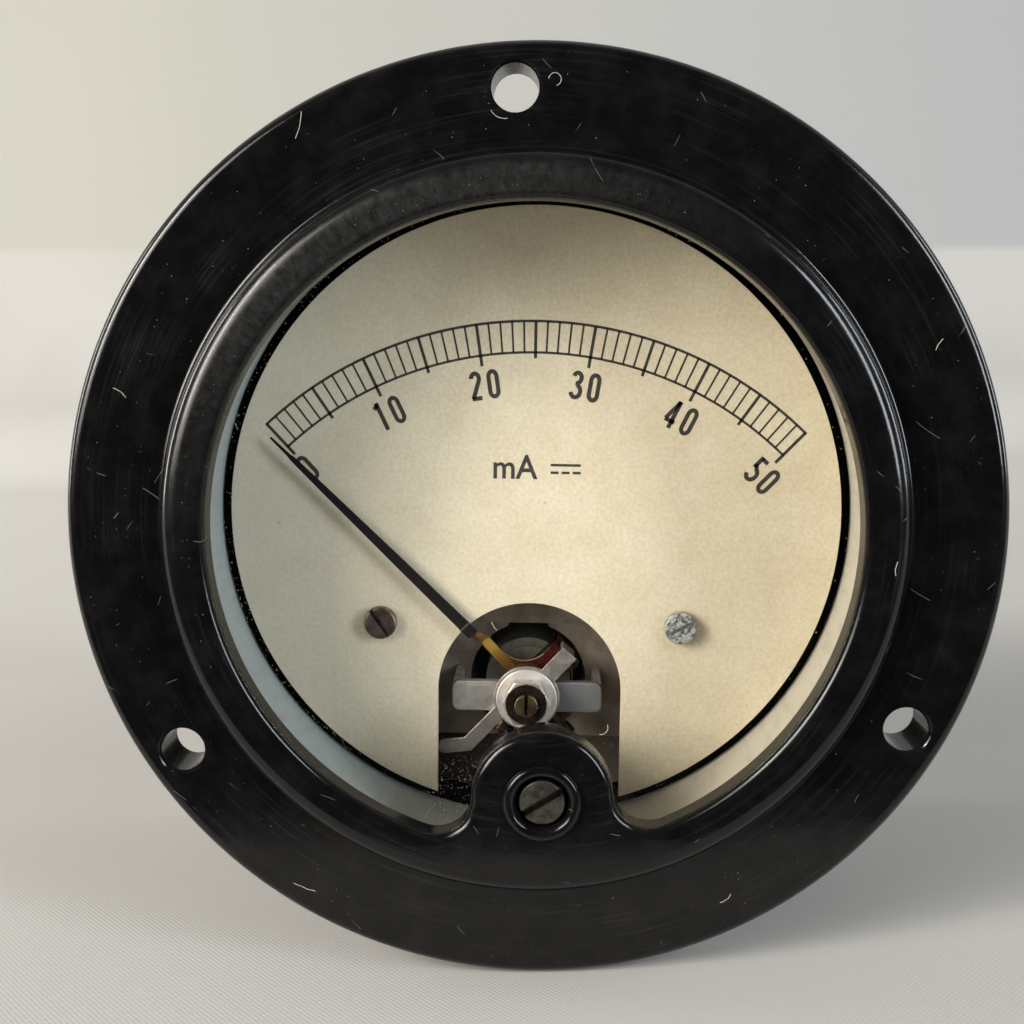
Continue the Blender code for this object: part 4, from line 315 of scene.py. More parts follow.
def liner_card():
    """The liner: painted light makes it grey-green on the left and cream on the right, with ragged brown dirt along its
    front edge.
    """
    n = Nodes("liner_card")
    angle, radius, level = n.polar()
    # Painted light: the tone runs from a cooler grey-green on the left to a warmer cream on the right.
    side = n.fma(n.xyz()[0], 0.022, 0.5, clamp=True)
    base = n.ramp(side, (0.10, (0.345, 0.39, 0.385)), (0.50, (0.40, 0.39, 0.33)), (0.90, (0.51, 0.47, 0.375)))
    streak = n.noise(1.0, 4.0, 0.6, n.vector(n.mul(angle, 26.0), n.mul(level, 0.25), 0.0))
    base = n.mix(n.ramp(streak, (0.48, 0.0), (0.80, 0.45)), base, (0.24, 0.22, 0.17))
    ragged = n.noise(1.0, 4.0, 0.7, n.vector(n.mul(angle, 18.0), level, 0.0))
    edge = n.fma(ragged, 3.4, n.sub(level, 4.4))
    patch = n.ramp(n.noise(0.05), (0.38, 0.2), (0.55, 1.0))
    stain = n.mul(n.ramp(edge, (0.0, 0.0), (0.35, 1.0)), patch)
    n.set(base_color=n.mix(n.mul(stain, 0.85), base, (0.060, 0.045, 0.028)), roughness=0.7)
    n.bump(streak, 0.2, 0.05)
    return n.material


def metal(name, light, dark, roughness, scale=1.0, bump=0.05, metallic=1.0, tarnish=(0.40, 0.62), spread=0.12):
    """Metal whose colour runs between two tones, with fine marks."""
    n = Nodes(name)
    marks = n.noise(6.0 * scale, 3.0, 0.6)
    n.set(base_color=n.ramp(n.noise(0.7 * scale, 4.0, 0.6), (tarnish[0], light), (tarnish[1], dark)),
          roughness=n.ramp(marks, (0.3, max(roughness - spread, 0.05)), (0.7, roughness + spread)),
          metallic=metallic)
    n.bump(marks, bump, 0.05)
    return n.material


def dulled_aluminium():
    """The bridge, with painted shade: bright on the left, greyer and bluer on the right."""
    n = Nodes("dulled_aluminium")
    # Painted shade: the right half of the bar is made greyer and bluer by a ramp over x.
    side = n.fma(n.xyz()[0], 0.1, 0.5, clamp=True)
    marks = n.noise(9.0, 3.0, 0.6)
    base = n.ramp(side, (0.30, (0.80, 0.75, 0.69)), (0.66, (0.34, 0.36, 0.37)), (0.95, (0.42, 0.43, 0.42)))
    base = n.mix(n.ramp(n.noise(1.1, 4.0, 0.6), (0.42, 0.0), (0.66, 0.35)), base, (0.42, 0.39, 0.35))
    n.set(base_color=base, roughness=n.ramp(marks, (0.3, 0.38), (0.7, 0.60)), metallic=0.85)
    n.bump(marks, 0.3, 0.05)
    return n.material


def corroded():
    """Plated steel with grey-white crusts of corrosion."""
    n = Nodes("corroded_steel")
    crust, fine = n.noise(2.2, 5.0, 0.7), n.noise(9.0, 3.0)
    mask = n.ramp(crust, (0.44, 0.0), (0.54, 1.0))
    white = n.ramp(fine, (0.3, (0.30, 0.33, 0.30)), (0.7, (0.62, 0.63, 0.58)))
    n.set(base_color=n.mix(mask, (0.34, 0.33, 0.30), white), roughness=n.ramp(mask, (0.0, 0.35), (1.0, 0.85)),
          metallic=n.ramp(mask, (0.0, 0.9), (1.0, 0.05)))
    n.bump(n.add(crust, n.mul(fine, 0.3)), 0.6, 0.18)
    return n.material


def plain(name, colour, roughness, metallic=0.0, scale=2.0, spread=0.25, bump=0.1, specular=0.5):
    """A painted or moulded finish whose colour and roughness vary a little."""
    n = Nodes(name)
    value = n.noise(scale, 4.0, 0.6)
    dark = tuple(c * (1.0 - spread) for c in colour)
    light = tuple(min(c * (1.0 + spread), 1.0) for c in colour)
    n.set(base_color=n.ramp(value, (0.3, dark), (0.7, light)), metallic=metallic, specular_ior_level=specular,
          roughness=n.ramp(value, (0.3, max(roughness - 0.1, 0.05)), (0.7, min(roughness + 0.1, 1.0))))
    n.bump(value, bump, 0.05)
    return n.material


def red_wire():
    """Fine wire under dark red enamel."""
    n = Nodes("red_wire")
    n.set(base_color=n.ramp(n.noise(1.6, 3.0), (0.3, (0.09, 0.010, 0.006)), (0.7, (0.24, 0.040, 0.018))),
          roughness=0.28, metallic=0.25, coat_weight=0.5)
    return n.material


def along_pointer(n, way):
    """Millimetres from the pivot along a direction in the pointer's axes."""
    x, y, z = n.xyz()
    origin = POINTER @ Vector((0.0, 0.0, 0.0))
    way = POINTER @ Vector(way) - origin
    return n.add(n.mul(n.sub(x, origin.x), way.x), n.mul(n.sub(z, origin.y), way.y))


def wound_shellac():
    """Amber at the pointer's foot, then brown, then the red of the fine wires that show through it."""
    n = Nodes("wound_shellac")
    x, y, z = n.xyz()
    centre = POINTER @ Vector((*WEB_CENTRE, 0.0))
    wire = n.saw(n.mul(n.length(n.sub(x, centre.x), n.sub(z, centre.y)), 3.6))
    pool = n.noise(1.3, 3.0)
    red = n.ramp(wire, (0.10, (0.04, 0.004, 0.003)), (0.40, (0.17, 0.022, 0.012)), (0.5, (0.30, 0.08, 0.04)))
    red = n.mix(n.ramp(pool, (0.45, 0.0), (0.7, 0.6)), red, (0.10, 0.012, 0.008))
    place = n.fma(n.add(along_pointer(n, (1.0, 0.0, 0.0)), n.fma(pool, 1.2, -0.6)), 0.2, 0.3)
    base = n.ramp(place, (0.30, (0.42, 0.22, 0.04)), (0.46, (0.22, 0.10, 0.025)), (0.60, (0.13, 0.035, 0.014)))
    far = n.ramp(place, (0.50, 0.0), (0.66, 1.0))
    n.set(base_color=n.mix(far, base, red), roughness=0.25, coat_weight=0.6)
    n.bump(n.mul(n.add(wire, pool), far), 0.5, 0.12)
    return n.material


def amber_arm():
    """Brown by the blade, two dark lines across, then amber that darkens again towards the hub."""
    n = Nodes("amber_arm")
    pool = n.noise(1.6, 3.0, 0.6)
    ragged = n.fma(pool, 0.5, n.sub(along_pointer(n, (0.0, 1.0, 0.0)), 0.25))
    tone = n.ramp(n.mul(ragged, 0.1), (0.30, (0.26, 0.125, 0.03)), (0.46, (0.50, 0.27, 0.05)),
                  (0.56, (0.78, 0.46, 0.09)), (0.69, (0.72, 0.42, 0.09)), (0.72, (0.20, 0.10, 0.04)),
                  (0.90, (0.12, 0.065, 0.035)))
    for place in (7.0, 7.65):
        line = n.math("LESS_THAN", n.math("ABSOLUTE", n.sub(ragged, place)), 0.06)
        tone = n.mix(n.mul(line, 0.8), tone, (0.02, 0.01, 0.006))
    n.set(base_color=tone, roughness=0.3, coat_weight=0.4)
    n.bump(pool, 0.4, 0.15)
    return n.material


METALS = {
    "dull_steel": ((0.34, 0.26, 0.22), (0.17, 0.12, 0.10), 0.45, 1.2, 0.15),
    "bright_steel": ((0.80, 0.79, 0.77), (0.62, 0.60, 0.57), 0.24),
    "washer_steel": ((0.95, 0.91, 0.84), (0.74, 0.70, 0.63), 0.52, 0.6, 0.05, 0.7, (0.45, 0.75), 0.06),
    "nickel": ((0.56, 0.53, 0.49), (0.36, 0.31, 0.27), 0.36),
    "zero_nickel": ((0.15, 0.14, 0.12), (0.075, 0.068, 0.055), 0.5, 1.6, 0.3),
    "lever_nickel": ((0.62, 0.57, 0.52), (0.44, 0.39, 0.35), 0.46, 0.9, 0.12, 0.85),
    "jewel_nut": ((0.78, 0.72, 0.66), (0.52, 0.43, 0.37), 0.38, 0.9, 0.05, 0.85, (0.42, 0.60)),
    "nut_face": ((0.085, 0.055, 0.042), (0.040, 0.030, 0.025), 0.5, 2.0, 0.2),
    "aluminium": ((0.84, 0.80, 0.75), (0.62, 0.60, 0.57), 0.50, 1.6, 0.3, 0.85),
    "former_dark": ((0.16, 0.10, 0.08), (0.09, 0.055, 0.045), 0.5),
    "brass": ((0.62, 0.46, 0.20), (0.42, 0.29, 0.12), 0.36),
    "brown_brass": ((0.30, 0.21, 0.13), (0.15, 0.10, 0.065), 0.45, 1.0, 0.12),
    "soft_iron": ((0.62, 0.53, 0.42), (0.40, 0.34, 0.27), 0.58, 0.5, 0.2, 0.35),
    "core_iron": ((0.72, 0.70, 0.57), (0.50, 0.48, 0.39), 0.5, 0.6, 0.15, 0.35),
    "spring_bronze": ((0.62, 0.43, 0.20), (0.45, 0.28, 0.12), 0.3),
}
PLAIN = {
    "magnet_steel": ((0.06, 0.055, 0.055), 0.5, 0.5, 1.0, 0.4, 0.3),
    "blackened_aluminium": ((0.012, 0.009, 0.009), 0.6, 0.0, 2.0, 0.4, 0.1, 0.15),
    "band_grey": ((0.06, 0.045, 0.045), 0.5),
    "winding_dark": ((0.09, 0.012, 0.008), 0.5),
    "cream_shellac": ((0.74, 0.60, 0.34), 0.3, 0.0, 3.0),
    "red_fibre": ((0.30, 0.07, 0.045), 0.7),
    "cotton_lead": ((0.40, 0.32, 0.11), 0.9, 0.0, 6.0, 0.35, 0.6),
    "dust_grey": ((0.40, 0.36, 0.29), 0.9, 0.0, 3.0),
}
LOOKS = {
    "black_phenolic": phenolic(), "window_glass": window_glass(), "dial_paper": paper(), "printing_ink": ink(),
    "liner_card": liner_card(), "lower_card": lower_card(), "dulled_aluminium": dulled_aluminium(),
    "corroded_steel": corroded(), "red_wire": red_wire(), "wound_shellac": wound_shellac(), "amber_arm": amber_arm(),
    **{name: metal(name, *values) for name, values in METALS.items()},
    **{name: plain(name, *values) for name, values in PLAIN.items()},
}


# ---------------------------------------------------------------- shapes

def arc(centre, radius, start, end, steps):
    angles = (math.radians(start + (end - start) * step / steps) for step in range(steps + 1))
    return [(centre[0] + radius * math.cos(a), centre[1] + radius * math.sin(a)) for a in angles]


def on_circle(radius, degrees, centre=(0.0, 0.0)):
    return arc(centre, radius, degrees, degrees, 1)[0]


def circle(centre, radius, steps=96):
    return arc(centre, radius, 180.0 / steps, 360.0 + 180.0 / steps, steps)[:-1]


def quarter(steps):
    """Steps round a quarter circle: one number falls from one to nought while the other rises."""
    angles = (math.pi / 2 * step / steps for step in range(steps + 1))
    return [(1 - math.sin(a), 1 - math.cos(a)) for a in angles]


def rounded(corners, closed=True, steps=6):
    """Points along straight runs whose corners (x, y, radius) are rounded."""
    points = []
    for index, (x, y, radius) in enumerate(corners):
        if radius == 0.0 or (not closed and index in (0, len(corners) - 1)):
            points.append((x, y))
            continue
        corner = Vector((x, y))
        before = (Vector(corners[index - 1][:2]) - corner).normalized()
        after = (Vector(corners[(index + 1) % len(corners)][:2]) - corner).normalized()
        half = before.angle(after) / 2
        centre = corner + (before + after).normalized() * radius / math.sin(half)
        spoke = corner + before * radius / math.tan(half) - centre
        sweep = math.pi - 2 * half
        if before.x * after.y - before.y * after.x > 0:
            sweep = -sweep
        points += [tuple(centre + Matrix.Rotation(sweep * s / steps, 2) @ spoke) for s in range(steps + 1)]
    return points


def oblong(x0, y0, x1, y1, radius, steps=6):
    return rounded([(x0, y0, radius), (x1, y0, radius), (x1, y1, radius), (x0, y1, radius)], steps=steps)


def resampled(loop, count):
    """The same closed line with evenly spaced points."""
    points = [Vector(p) for p in loop]
    runs = [(b - a).length for a, b in zip(points, points[1:] + points[:1])]
    total = sum(runs)
    out, index, walked = [], 0, 0.0
    for step in range(count):
        target = total * step / count
        while walked + runs[index] < target:
            walked += runs[index]
            index += 1
        a, b = points[index], points[(index + 1) % len(points)]
        out.append(a + (b - a) * ((target - walked) / runs[index]))
    return out


def skin(rows, closed=False):
    """Faces between rows of vertex numbers; a row that repeats one number is a point."""
    pairs = [*zip(rows, rows[1:])] + [(rows[-1], rows[0])] * closed
    quads = [[low[i], low[(i + 1) % len(low)], high[(i + 1) % len(low)], high[i]]
             for low, high in pairs for i in range(len(low))]
    return [[corner for i, corner in enumerate(quad) if corner != quad[i - 1]] for quad in quads]


def loft(sections, closed=False, start=0):
    """The vertices of sections of equal count, their rows of numbers and the faces between them."""
    size = len(sections[0])
    rows = [list(range(start + i * size, start + (i + 1) * size)) for i in range(len(sections))]
    return [point for section in sections for point in section], rows, skin(rows, closed)


def flat(verts, rows):
    """Triangles of a flat face bounded by rows of vertex numbers."""
    every = [i for row in rows for i in row]
    loops = [[Vector((*verts[i][:2], 0.0)) for i in row] for row in rows]
    return [[every[i] for i in face] for face in geometry.tessellate_polygon(loops)]


def link(name, data):
    made = bpy.data.objects.new(name, data)
    bpy.context.scene.collection.objects.link(made)
    return made


def shade(shape, smooth=True, sharp=35.0):
    for edge in shape.edges:
        edge.smooth = len(edge.link_faces) == 2 and edge.calc_face_angle() < math.radians(sharp)
    for face in shape.faces:
        face.smooth = smooth


def build(name, data, axes, body, look, smooth=True, sharp=35.0):
    """A mesh given in millimetres in the named axes, placed in the frame and riding on its body."""
    verts, faces = data
    place = WORLD @ axes
    shape = bmesh.new()
    made = [shape.verts.new(place @ Vector(v)) for v in verts]
    for face in faces:
        if len(set(face)) > 2:
            try:
                shape.faces.new([made[i] for i in face])
            except ValueError:
                pass
    bmesh.ops.remove_doubles(shape, verts=shape.verts, dist=1e-8)
    bmesh.ops.recalc_face_normals(shape, faces=shape.faces)
    shade(shape, smooth, sharp)
    mesh = bpy.data.meshes.new(name)
    shape.to_mesh(mesh)
    shape.free()
    piece = link(name, mesh)
    if look:
        mesh.materials.append(LOOKS[look])
    if body:
        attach(piece, body)
    return piece


def keep(piece, node=None):
    """Hides the CAD node that a piece replaces, if it has one, and returns the piece."""
    if node:
        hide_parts(node)
    return piece


def even_shading(piece):
    modifier = piece.modifiers.new("even_shading", "WEIGHTED_NORMAL")
    modifier.keep_sharp = True
    modifier.weight = 100
    return piece


def lathe_data(profile, steps, at=(0.0, 0.0), closed=False):
    """A profile of (radius, z) spun about an axis along z."""
    verts, rows = [], []
    angles = [2 * math.pi * (s + 0.5) / steps for s in range(steps)]
    for radius, z in profile:
        if radius < 1e-9:
            rows.append([len(verts)] * steps)
            verts.append((*at, z))
        else:
            rows.append(list(range(len(verts), len(verts) + steps)))
            verts += [(at[0] + radius * math.cos(a), at[1] + radius * math.sin(a), z) for a in angles]
    return verts, skin(rows, closed)


def lathe(name, profile, axes, body, look, at=(0.0, 0.0), steps=96, closed=False):
    return build(name, lathe_data(profile, steps, at, closed), axes, body, look)


def slab_data(loops, back, front, edge=0.0):
    """A flat outline with holes between two levels, its edges eased by a small rounding."""
    levels = [(0.0, back), (0.0, front)]
    if edge:
        levels = [(edge * u, back + edge * v) for u, v in quarter(3)]
        levels += [(edge * v, front - edge * u) for u, v in quarter(3)]
    verts, faces, first, last = [], [], [], []
    for index, loop in enumerate(loops):
        points = [Vector(p) for p in loop]
        area = sum(a.x * b.y - b.x * a.y for a, b in zip(points, points[1:] + points[:1]))
        if (area < 0) != (index > 0):
            points.reverse()
        normals = []
        for i, point in enumerate(points):
            before = (point - points[i - 1]).normalized()
            after = (points[(i + 1) % len(points)] - point).normalized()
            a, b = Vector((before.y, -before.x)), Vector((after.y, -after.x))
            bisector = (a + b).normalized()
            normals.append(bisector / max(bisector.dot(a), 0.35))
        sections = [[(*(p - n * inset), z) for p, n in zip(points, normals)] for inset, z in levels]
        more, rows, sides = loft(sections, start=len(verts))
        verts += more
        faces += sides
        first.append(rows[0])
        last.append(rows[-1])
    return verts, faces + [face[::-1] for face in flat(verts, first)] + flat(verts, last)


def slab(name, loops, back, front, axes, body, look, edge=0.0):
    return even_shading(build(name, slab_data(loops, back, front, edge), axes, body, look))


def temporary(data, axes=COVER):
    return build("cutter", data, axes, None, None)


def boolean(piece, others, operation="DIFFERENCE"):
    """Applies Booleans with other objects, which are then removed, and shades the result anew."""
    for other in others:
        modifier = piece.modifiers.new("boolean", "BOOLEAN")
        modifier.operation, modifier.object, modifier.solver = operation, other, "EXACT"
    bpy.context.view_layer.update()
    mesh = bpy.data.meshes.new_from_object(piece.evaluated_get(bpy.context.evaluated_depsgraph_get()))
    piece.modifiers.clear()
    shape = bmesh.new()
    shape.from_mesh(mesh)
    for spent in (mesh, *[other.data for other in others]):
        bpy.data.meshes.remove(spent)
    bmesh.ops.remove_doubles(shape, verts=shape.verts, dist=2e-7)
    shade(shape)
    shape.to_mesh(piece.data)
    shape.free()
    return even_shading(piece)


def slotted(name, profile, axes, body, look, cut, angle, node, at=(0.0, 0.0)):
    """A spun head with a straight slot across its outer face, cut to (half length, half width, depth)."""
    piece = lathe(name, profile, axes, body, look, at)
    top = profile[0][1]
    corners = [(x * cut[0], y * cut[1], top + z * cut[2]) for x in (-1, 1) for y in (-1, 1) for z in (-1, 1)]
    sides = [(0, 1, 3, 2), (4, 6, 7, 5), (0, 4, 5, 1), (2, 3, 7, 6), (0, 2, 6, 4), (1, 5, 7, 3)]
    boolean(piece, [temporary((corners, sides), axes @ shift(*at) @ turn(angle))])
    return keep(piece, node)


def tube(name, points, half, axes, body, look, sides, power=1.0):
    """A strip swept along points, half its thickness and width given: round, or squarer with a power below one."""
    path = [Vector(p) for p in points]
    sections = []
    for i, point in enumerate(path):
        along = (path[min(i + 1, len(path) - 1)] - path[max(i - 1, 0)]).normalized()
        side = along.cross(Vector((0, 0, 1)))
        side = side.normalized() if side.length > 1e-4 else Vector((1, 0, 0))
        top = side.cross(along).normalized()
        sections.append([])
        for s in range(sides):
            a = 2 * math.pi * s / sides
            u, v = (math.copysign(abs(w) ** power, w) for w in (math.cos(a), math.sin(a)))
            sections[-1].append(tuple(point + (side * (half[0] * u) + top * (half[1] * v))))
    verts, rows, faces = loft(sections)
    return build(name, (verts, faces + [rows[0][::-1], rows[-1]]), axes, body, look)


def headings(points):
    """At each point of a line, its direction there and that of the run that follows."""
    runs = [(Vector(b) - Vector(a)).normalized() for a, b in zip(points, points[1:])]
    return [((before + after).normalized(), after) for before, after in zip([runs[0], *runs], [*runs, runs[-1]])]


def strap_sides(points, width):
    right, left = [], []
    for point, (along, after) in zip(points, headings(points)):
        side = Vector((-along.y, along.x)) * (width / 2 / along.dot(after))
        right.append(Vector(point) - side)
        left.append(Vector(point) + side)
    return right, left


def round_end(right, left, steps=16):
    spoke = (right - left) / 2
    start = math.degrees(math.atan2(spoke.y, spoke.x))
    return [Vector(p) for p in arc((right + left) / 2, spoke.length, start, start + 180.0, steps)]


def hub_with_limbs(radius, limbs):
    """A hub about the origin with limbs, each (points, width, round end)."""
    exits = []
    for points, width, is_round in limbs:
        right, left = strap_sides(points, width)
        for side in (right, left):
            run = side[1] - side[0]
            middle = side[0].dot(run) / run.length_squared
            reach = math.sqrt(middle**2 - (side[0].length_squared - radius**2) / run.length_squared)
            side[0] = side[0] + run * (reach - middle)
        end = round_end(right[-1], left[-1]) if is_round else [right[-1], left[-1]]
        limb = [*right[:-1], *end, *reversed(left[:-1])]
        exits.append((math.atan2(right[0].y, right[0].x), math.atan2(left[0].y, left[0].x), limb))
    exits.sort(key=lambda limb: limb[0])
    outline = []
    for index, (_, leaving, limb) in enumerate(exits):
        entering = exits[(index + 1) % len(exits)][0]
        while entering < leaving:
            entering += 2 * math.pi
        between = arc((0.0, 0.0), radius, math.degrees(leaving), math.degrees(entering), 40)[1:-1]
        outline += limb + [Vector(p) for p in between]
    return outline


# ---------------------------------------------------------------- front cover

def opening_outline():
    reach, spread, drop = OPENING - BOSS_FILLET, BOSS_RADIUS + BOSS_FILLET, -ZERO_AT[1]
    cosine = (reach**2 + drop**2 - spread**2) / (2 * reach * drop)
    swing = math.degrees(math.acos(cosine))
    fillet = Vector((reach * math.sin(math.radians(swing)), -reach * cosine))
    boss = Vector(ZERO_AT)
    tilt = math.degrees(math.atan2(fillet.y - boss.y, fillet.x - boss.x))
    return (arc((0.0, 0.0), OPENING, swing - 90.0, 270.0 - swing, 400)
            + arc((-fillet.x, fillet.y), BOSS_FILLET, 270.0 - swing, 360.0 - tilt, 40)[1:]
            + arc(boss, BOSS_RADIUS, 180.0 - tilt, tilt, 100)[1:]
            + arc(fillet, BOSS_FILLET, 180.0 + tilt, 270.0 + swing, 40)[1:-1])


def front_cover():
    """One closed skin from the lip round the bezel, flange and skirt, then bored."""
    lip, shoulder, fillet, rim, hem, ease = 0.85, 2.0, 0.7, 1.2, 0.4, 0.15
    outline = resampled(opening_outline(), 720)
    outwards = []
    for i in range(len(outline)):
        along = (outline[(i + 1) % len(outline)] - outline[i - 1]).normalized()
        outwards.append(Vector((along.y, -along.x)))
    spin = [Vector(p) for p in circle((0.0, 0.0), 1.0, 480)]
    inside = [(ease, LIP_BACK), (0.0, LIP_BACK + ease), (0.0, BEZEL_FACE - lip)]
    inside += [(lip * v, BEZEL_FACE - lip * u) for u, v in quarter(8)[1:]]
    outside = [(BEZEL - shoulder * u, BEZEL_FACE - shoulder * v) for u, v in quarter(14)]
    outside += [(BEZEL + fillet * v, FLANGE_FRONT + fillet * u) for u, v in quarter(6)]
    outside += [(FLANGE - rim * u, FLANGE_FRONT - rim * v) for u, v in quarter(8)]
    outside += [(FLANGE - hem * v, hem * u) for u, v in quarter(4)]
    outside += [(CASE + 0.15, 0.0), (CASE + 0.15, 0.6), (SKIRT, 0.6), (SKIRT, SKIRT_BACK), (POCKET, SKIRT_BACK),
                (POCKET, LIP_BACK)]
    verts, lips, faces = loft([[(*(p + n * out), z) for p, n in zip(outline, outwards)] for out, z in inside])
    more, rings, sides = loft([[(radius * u.x, radius * u.y, z) for u in spin] for radius, z in outside],
                              start=len(verts))
    verts += more
    faces += sides + flat(verts, (rings[0], lips[-1])) + flat(verts, (rings[-1], lips[0]))
    cover = build("cover", (verts, faces), COVER, "case", "black_phenolic")

    face, seat = BEZEL_FACE, BEZEL_FACE - 3.0
    stem = [(0.0, face - 0.9), (4.9, face - 0.9), (4.9, -0.3), (4.7, -0.5), (0.0, -0.5)]
    bead = [(2.6, face - 0.4), *arc((3.15, face), 0.55, 180.0, 0.0, 16), (3.7, face - 0.4)]
    boolean(cover, [temporary(lathe_data(stem, 96, ZERO_AT)), temporary(lathe_data(bead, 128, ZERO_AT, True))], "UNION")
    bore = [(0.0, face + 1), (2.9, face + 1), (2.55, face - 0.1), (2.5, face - 0.3), (2.5, seat), (1.55, seat),
            (1.55, -1.5), (0.0, -1.5)]
    hole = [(0.0, 6.4), (3.35, 6.4), (2.28, 5.33), (2.17, 5.22), (2.1, 5.05), (2.1, 0.25), (3.35, -1.0), (0.0, -1.0)]
    holes = [temporary(lathe_data(hole, 96, on_circle(MOUNT_RING, angle))) for angle in (90.0, 210.0, 330.0)]
    boolean(cover, [temporary(lathe_data(bore, 96, ZERO_AT)), *holes])
    keep(cover, "front_cover")


def zero_screw():
    neck = BEZEL_FACE - 2.85
    profile = rounded([(0.0, BEZEL_FACE, 0.0), (2.15, BEZEL_FACE, 0.16), (2.15, neck, 0.05), (1.4, neck, 0.0),
                       (1.4, -3.5, 0.1), (0.0, -3.5, 0.0)], closed=False)
    slotted("zero_adjuster", profile, ZERO, "zero_screw", "zero_nickel", (3.0, 0.34, 0.9), 30.0, "zero_screw")
    away = turned_point(*(ZERO_FROM_PIVOT.normalized() * 0.9), DIAL_TURN)
    pin = [(0.0, -6.5), (0.38, -6.5), (0.45, -6.42), (0.45, -3.4), (0.0, -3.4)]
    keep(lathe("zero_pin", pin, ZERO, "zero_screw", "zero_nickel", away, 32))


front_cover()
zero_screw()


# ---------------------------------------------------------------- dial and liner

def notched_disc(radius, half_width, arch_x, arch_y, steps=360):
    right = math.degrees(math.atan2(-math.sqrt(radius**2 - (arch_x + half_width) ** 2), arch_x + half_width))
    left = 180.0 - math.degrees(math.asin(-math.sqrt(radius**2 - (arch_x - half_width) ** 2) / radius))
    return arc((0.0, 0.0), radius, right, left, steps) + arc((arch_x, arch_y), half_width, 180.0, 0.0, 64)


def window_liner_and_dial():
    """The glass and the liner keep their CAD outlines, with more points on their curves."""
    glass = notched_disc(GLASS_RADIUS, 5.2, *ZERO_AT)
    keep(slab("glass", [glass], GLASS_BACK, GLASS_FRONT, COVER, "case", "window_glass"), "window_glass")
    ring = [(31.7, LINER_FRONT), (32.1, LINER_FRONT), (32.1, LINER_BACK), (31.7, LINER_BACK)]
    keep(lathe("liner", ring, COVER, "case", "liner_card", steps=360, closed=True), "dial_liner")
    plate = [notched_disc(DIAL_RADIUS, ARCH_RADIUS, -0.25, PIVOT_IN_DIAL[1] + 1.02)]
    plate += [circle((x, -10.948), 0.95, 32) for x in (-15.45, 14.95)]
    keep(slab("dial_face", plate, DIAL_BACK, DIAL_FRONT, DIAL, "case", "dial_paper", 0.06), "dial_plate")


# Strokes of the numerals
NOUGHT = [(0.52, 0.0), *arc((0.0, 0.72), 0.52, 0.0, 180.0, 12), *arc((0.0, -0.72), 0.52, 180.0, 360.0, 12), (0.52, 0.0)]
NUMERALS = {
    "0": [NOUGHT],
    "1": [[(0.12, -1.46), (0.12, 1.44)], [(0.16, 1.34), (-0.06, 1.10), (-0.42, 0.92)]],
    "2": [[*arc((0.0, 0.74), 0.50, -28.0, 178.0, 14)[::-1], (0.30, 0.22), (-0.44, -1.06), (-0.50, -1.24)],
          [(-0.66, -1.24), (0.62, -1.24)]],
    "3": [arc((-0.02, 0.72), 0.50, -82.0, 165.0, 14)[::-1], [(-0.20, 0.16), (0.06, 0.16)],
          arc((-0.02, -0.62), 0.60, 85.0, -168.0, 16)],
    "4": [[(0.22, -1.46), (0.22, 1.42)], [(0.22, 1.38), (-0.66, -0.66)], [(-0.74, -0.72), (0.64, -0.72)]],
    "5": [[(0.58, 1.24), (-0.38, 1.24)], [(-0.38, 1.42), (-0.42, 0.10)],
          [(-0.46, 0.18), (-0.26, 0.32), *arc((-0.02, -0.56), 0.62, 82.0, -160.0, 18)]],
}


def scale_printing():
    """The arcs, divisions and numerals, printed on the paper as flat strips."""
    verts, faces = [], []

    def line(points, width, origin=(0.0, 0.0), degrees=0.0):
        base, count = len(verts), len(points)
        right, left = strap_sides(points, width)
        for p in (*left, *right):
            x, y = turned_point(p.x, p.y, degrees)
            verts.append((x + origin[0], y + origin[1], INK_FRONT))
        faces.extend([base + i, base + i + 1, base + count + i + 1, base + count + i] for i in range(count - 1))

    def on_scale(radius, degrees):
        return turned_point(0.0, radius, degrees)

    for radius, width in ((OUTER_ARC, 0.26), (INNER_ARC, 0.24)):
        line([on_scale(radius, SCALE_HALF + 0.2 - (2 * SCALE_HALF + 0.4) * i / 160) for i in range(161)], width)
    angles = [SCALE_HALF - 2 * SCALE_HALF * value / 50 for value in range(51)]
    for value, a in enumerate(angles):
        end, width = (35.04, 0.31) if value % 10 == 0 else (35.51, 0.30) if value % 5 == 0 else (INNER_ARC, 0.19)
        line([on_scale(OUTER_ARC, a), on_scale(end, a)], width)
    for value in range(0, 51, 10):
        digits, a = str(value), angles[value]
        middle = on_scale(33.2, a)
        for index, digit in enumerate(digits):
            aside = turned_point((index - (len(digits) - 1) / 2) * 1.74, 0.0, a)
            for points in NUMERALS[digit]:
                line([(x * 0.77, y) for x, y in points], 0.42, (middle[0] + aside[0], middle[1] + aside[1]), a)
    keep(build("scale_printing", (verts, faces), SCALE, "case", "printing_ink", smooth=False))


def unit_mark():
    """A plain unit and a direct-current sign under the scale."""
    curve = bpy.data.curves.new("unit_mark", "FONT")
    curve.body, curve.size, curve.align_x, curve.align_y = "mA", 3.4, "CENTER", "CENTER"
    curve.resolution_u, curve.offset = 6, 0.045
    text = link("unit_text", curve)
    bpy.context.view_layer.update()
    mesh = bpy.data.meshes.new_from_object(text.evaluated_get(bpy.context.evaluated_depsgraph_get()))
    bpy.data.objects.remove(text)
    left, middle, half = 1.7, 24.6, 0.13
    verts = [(v.co.x * 0.92 - 1.9, v.co.y + middle, INK_FRONT) for v in mesh.vertices]
    faces = [list(p.vertices) for p in mesh.polygons]
    bpy.data.meshes.remove(mesh)
    dashes = [(left + 1.1 * i, left + 0.8 + 1.1 * i, middle - 0.38) for i in range(3)]
    for start, end, level in [(left, left + 3.0, middle + 0.38), *dashes]:
        faces.append([len(verts) + i for i in range(4)])
        verts += [(x, level + y, INK_FRONT) for x, y in ((start, -half), (end, -half), (end, half), (start, half))]
    keep(build("unit_printing", (verts, faces), SCALE, "case", "printing_ink", smooth=False))


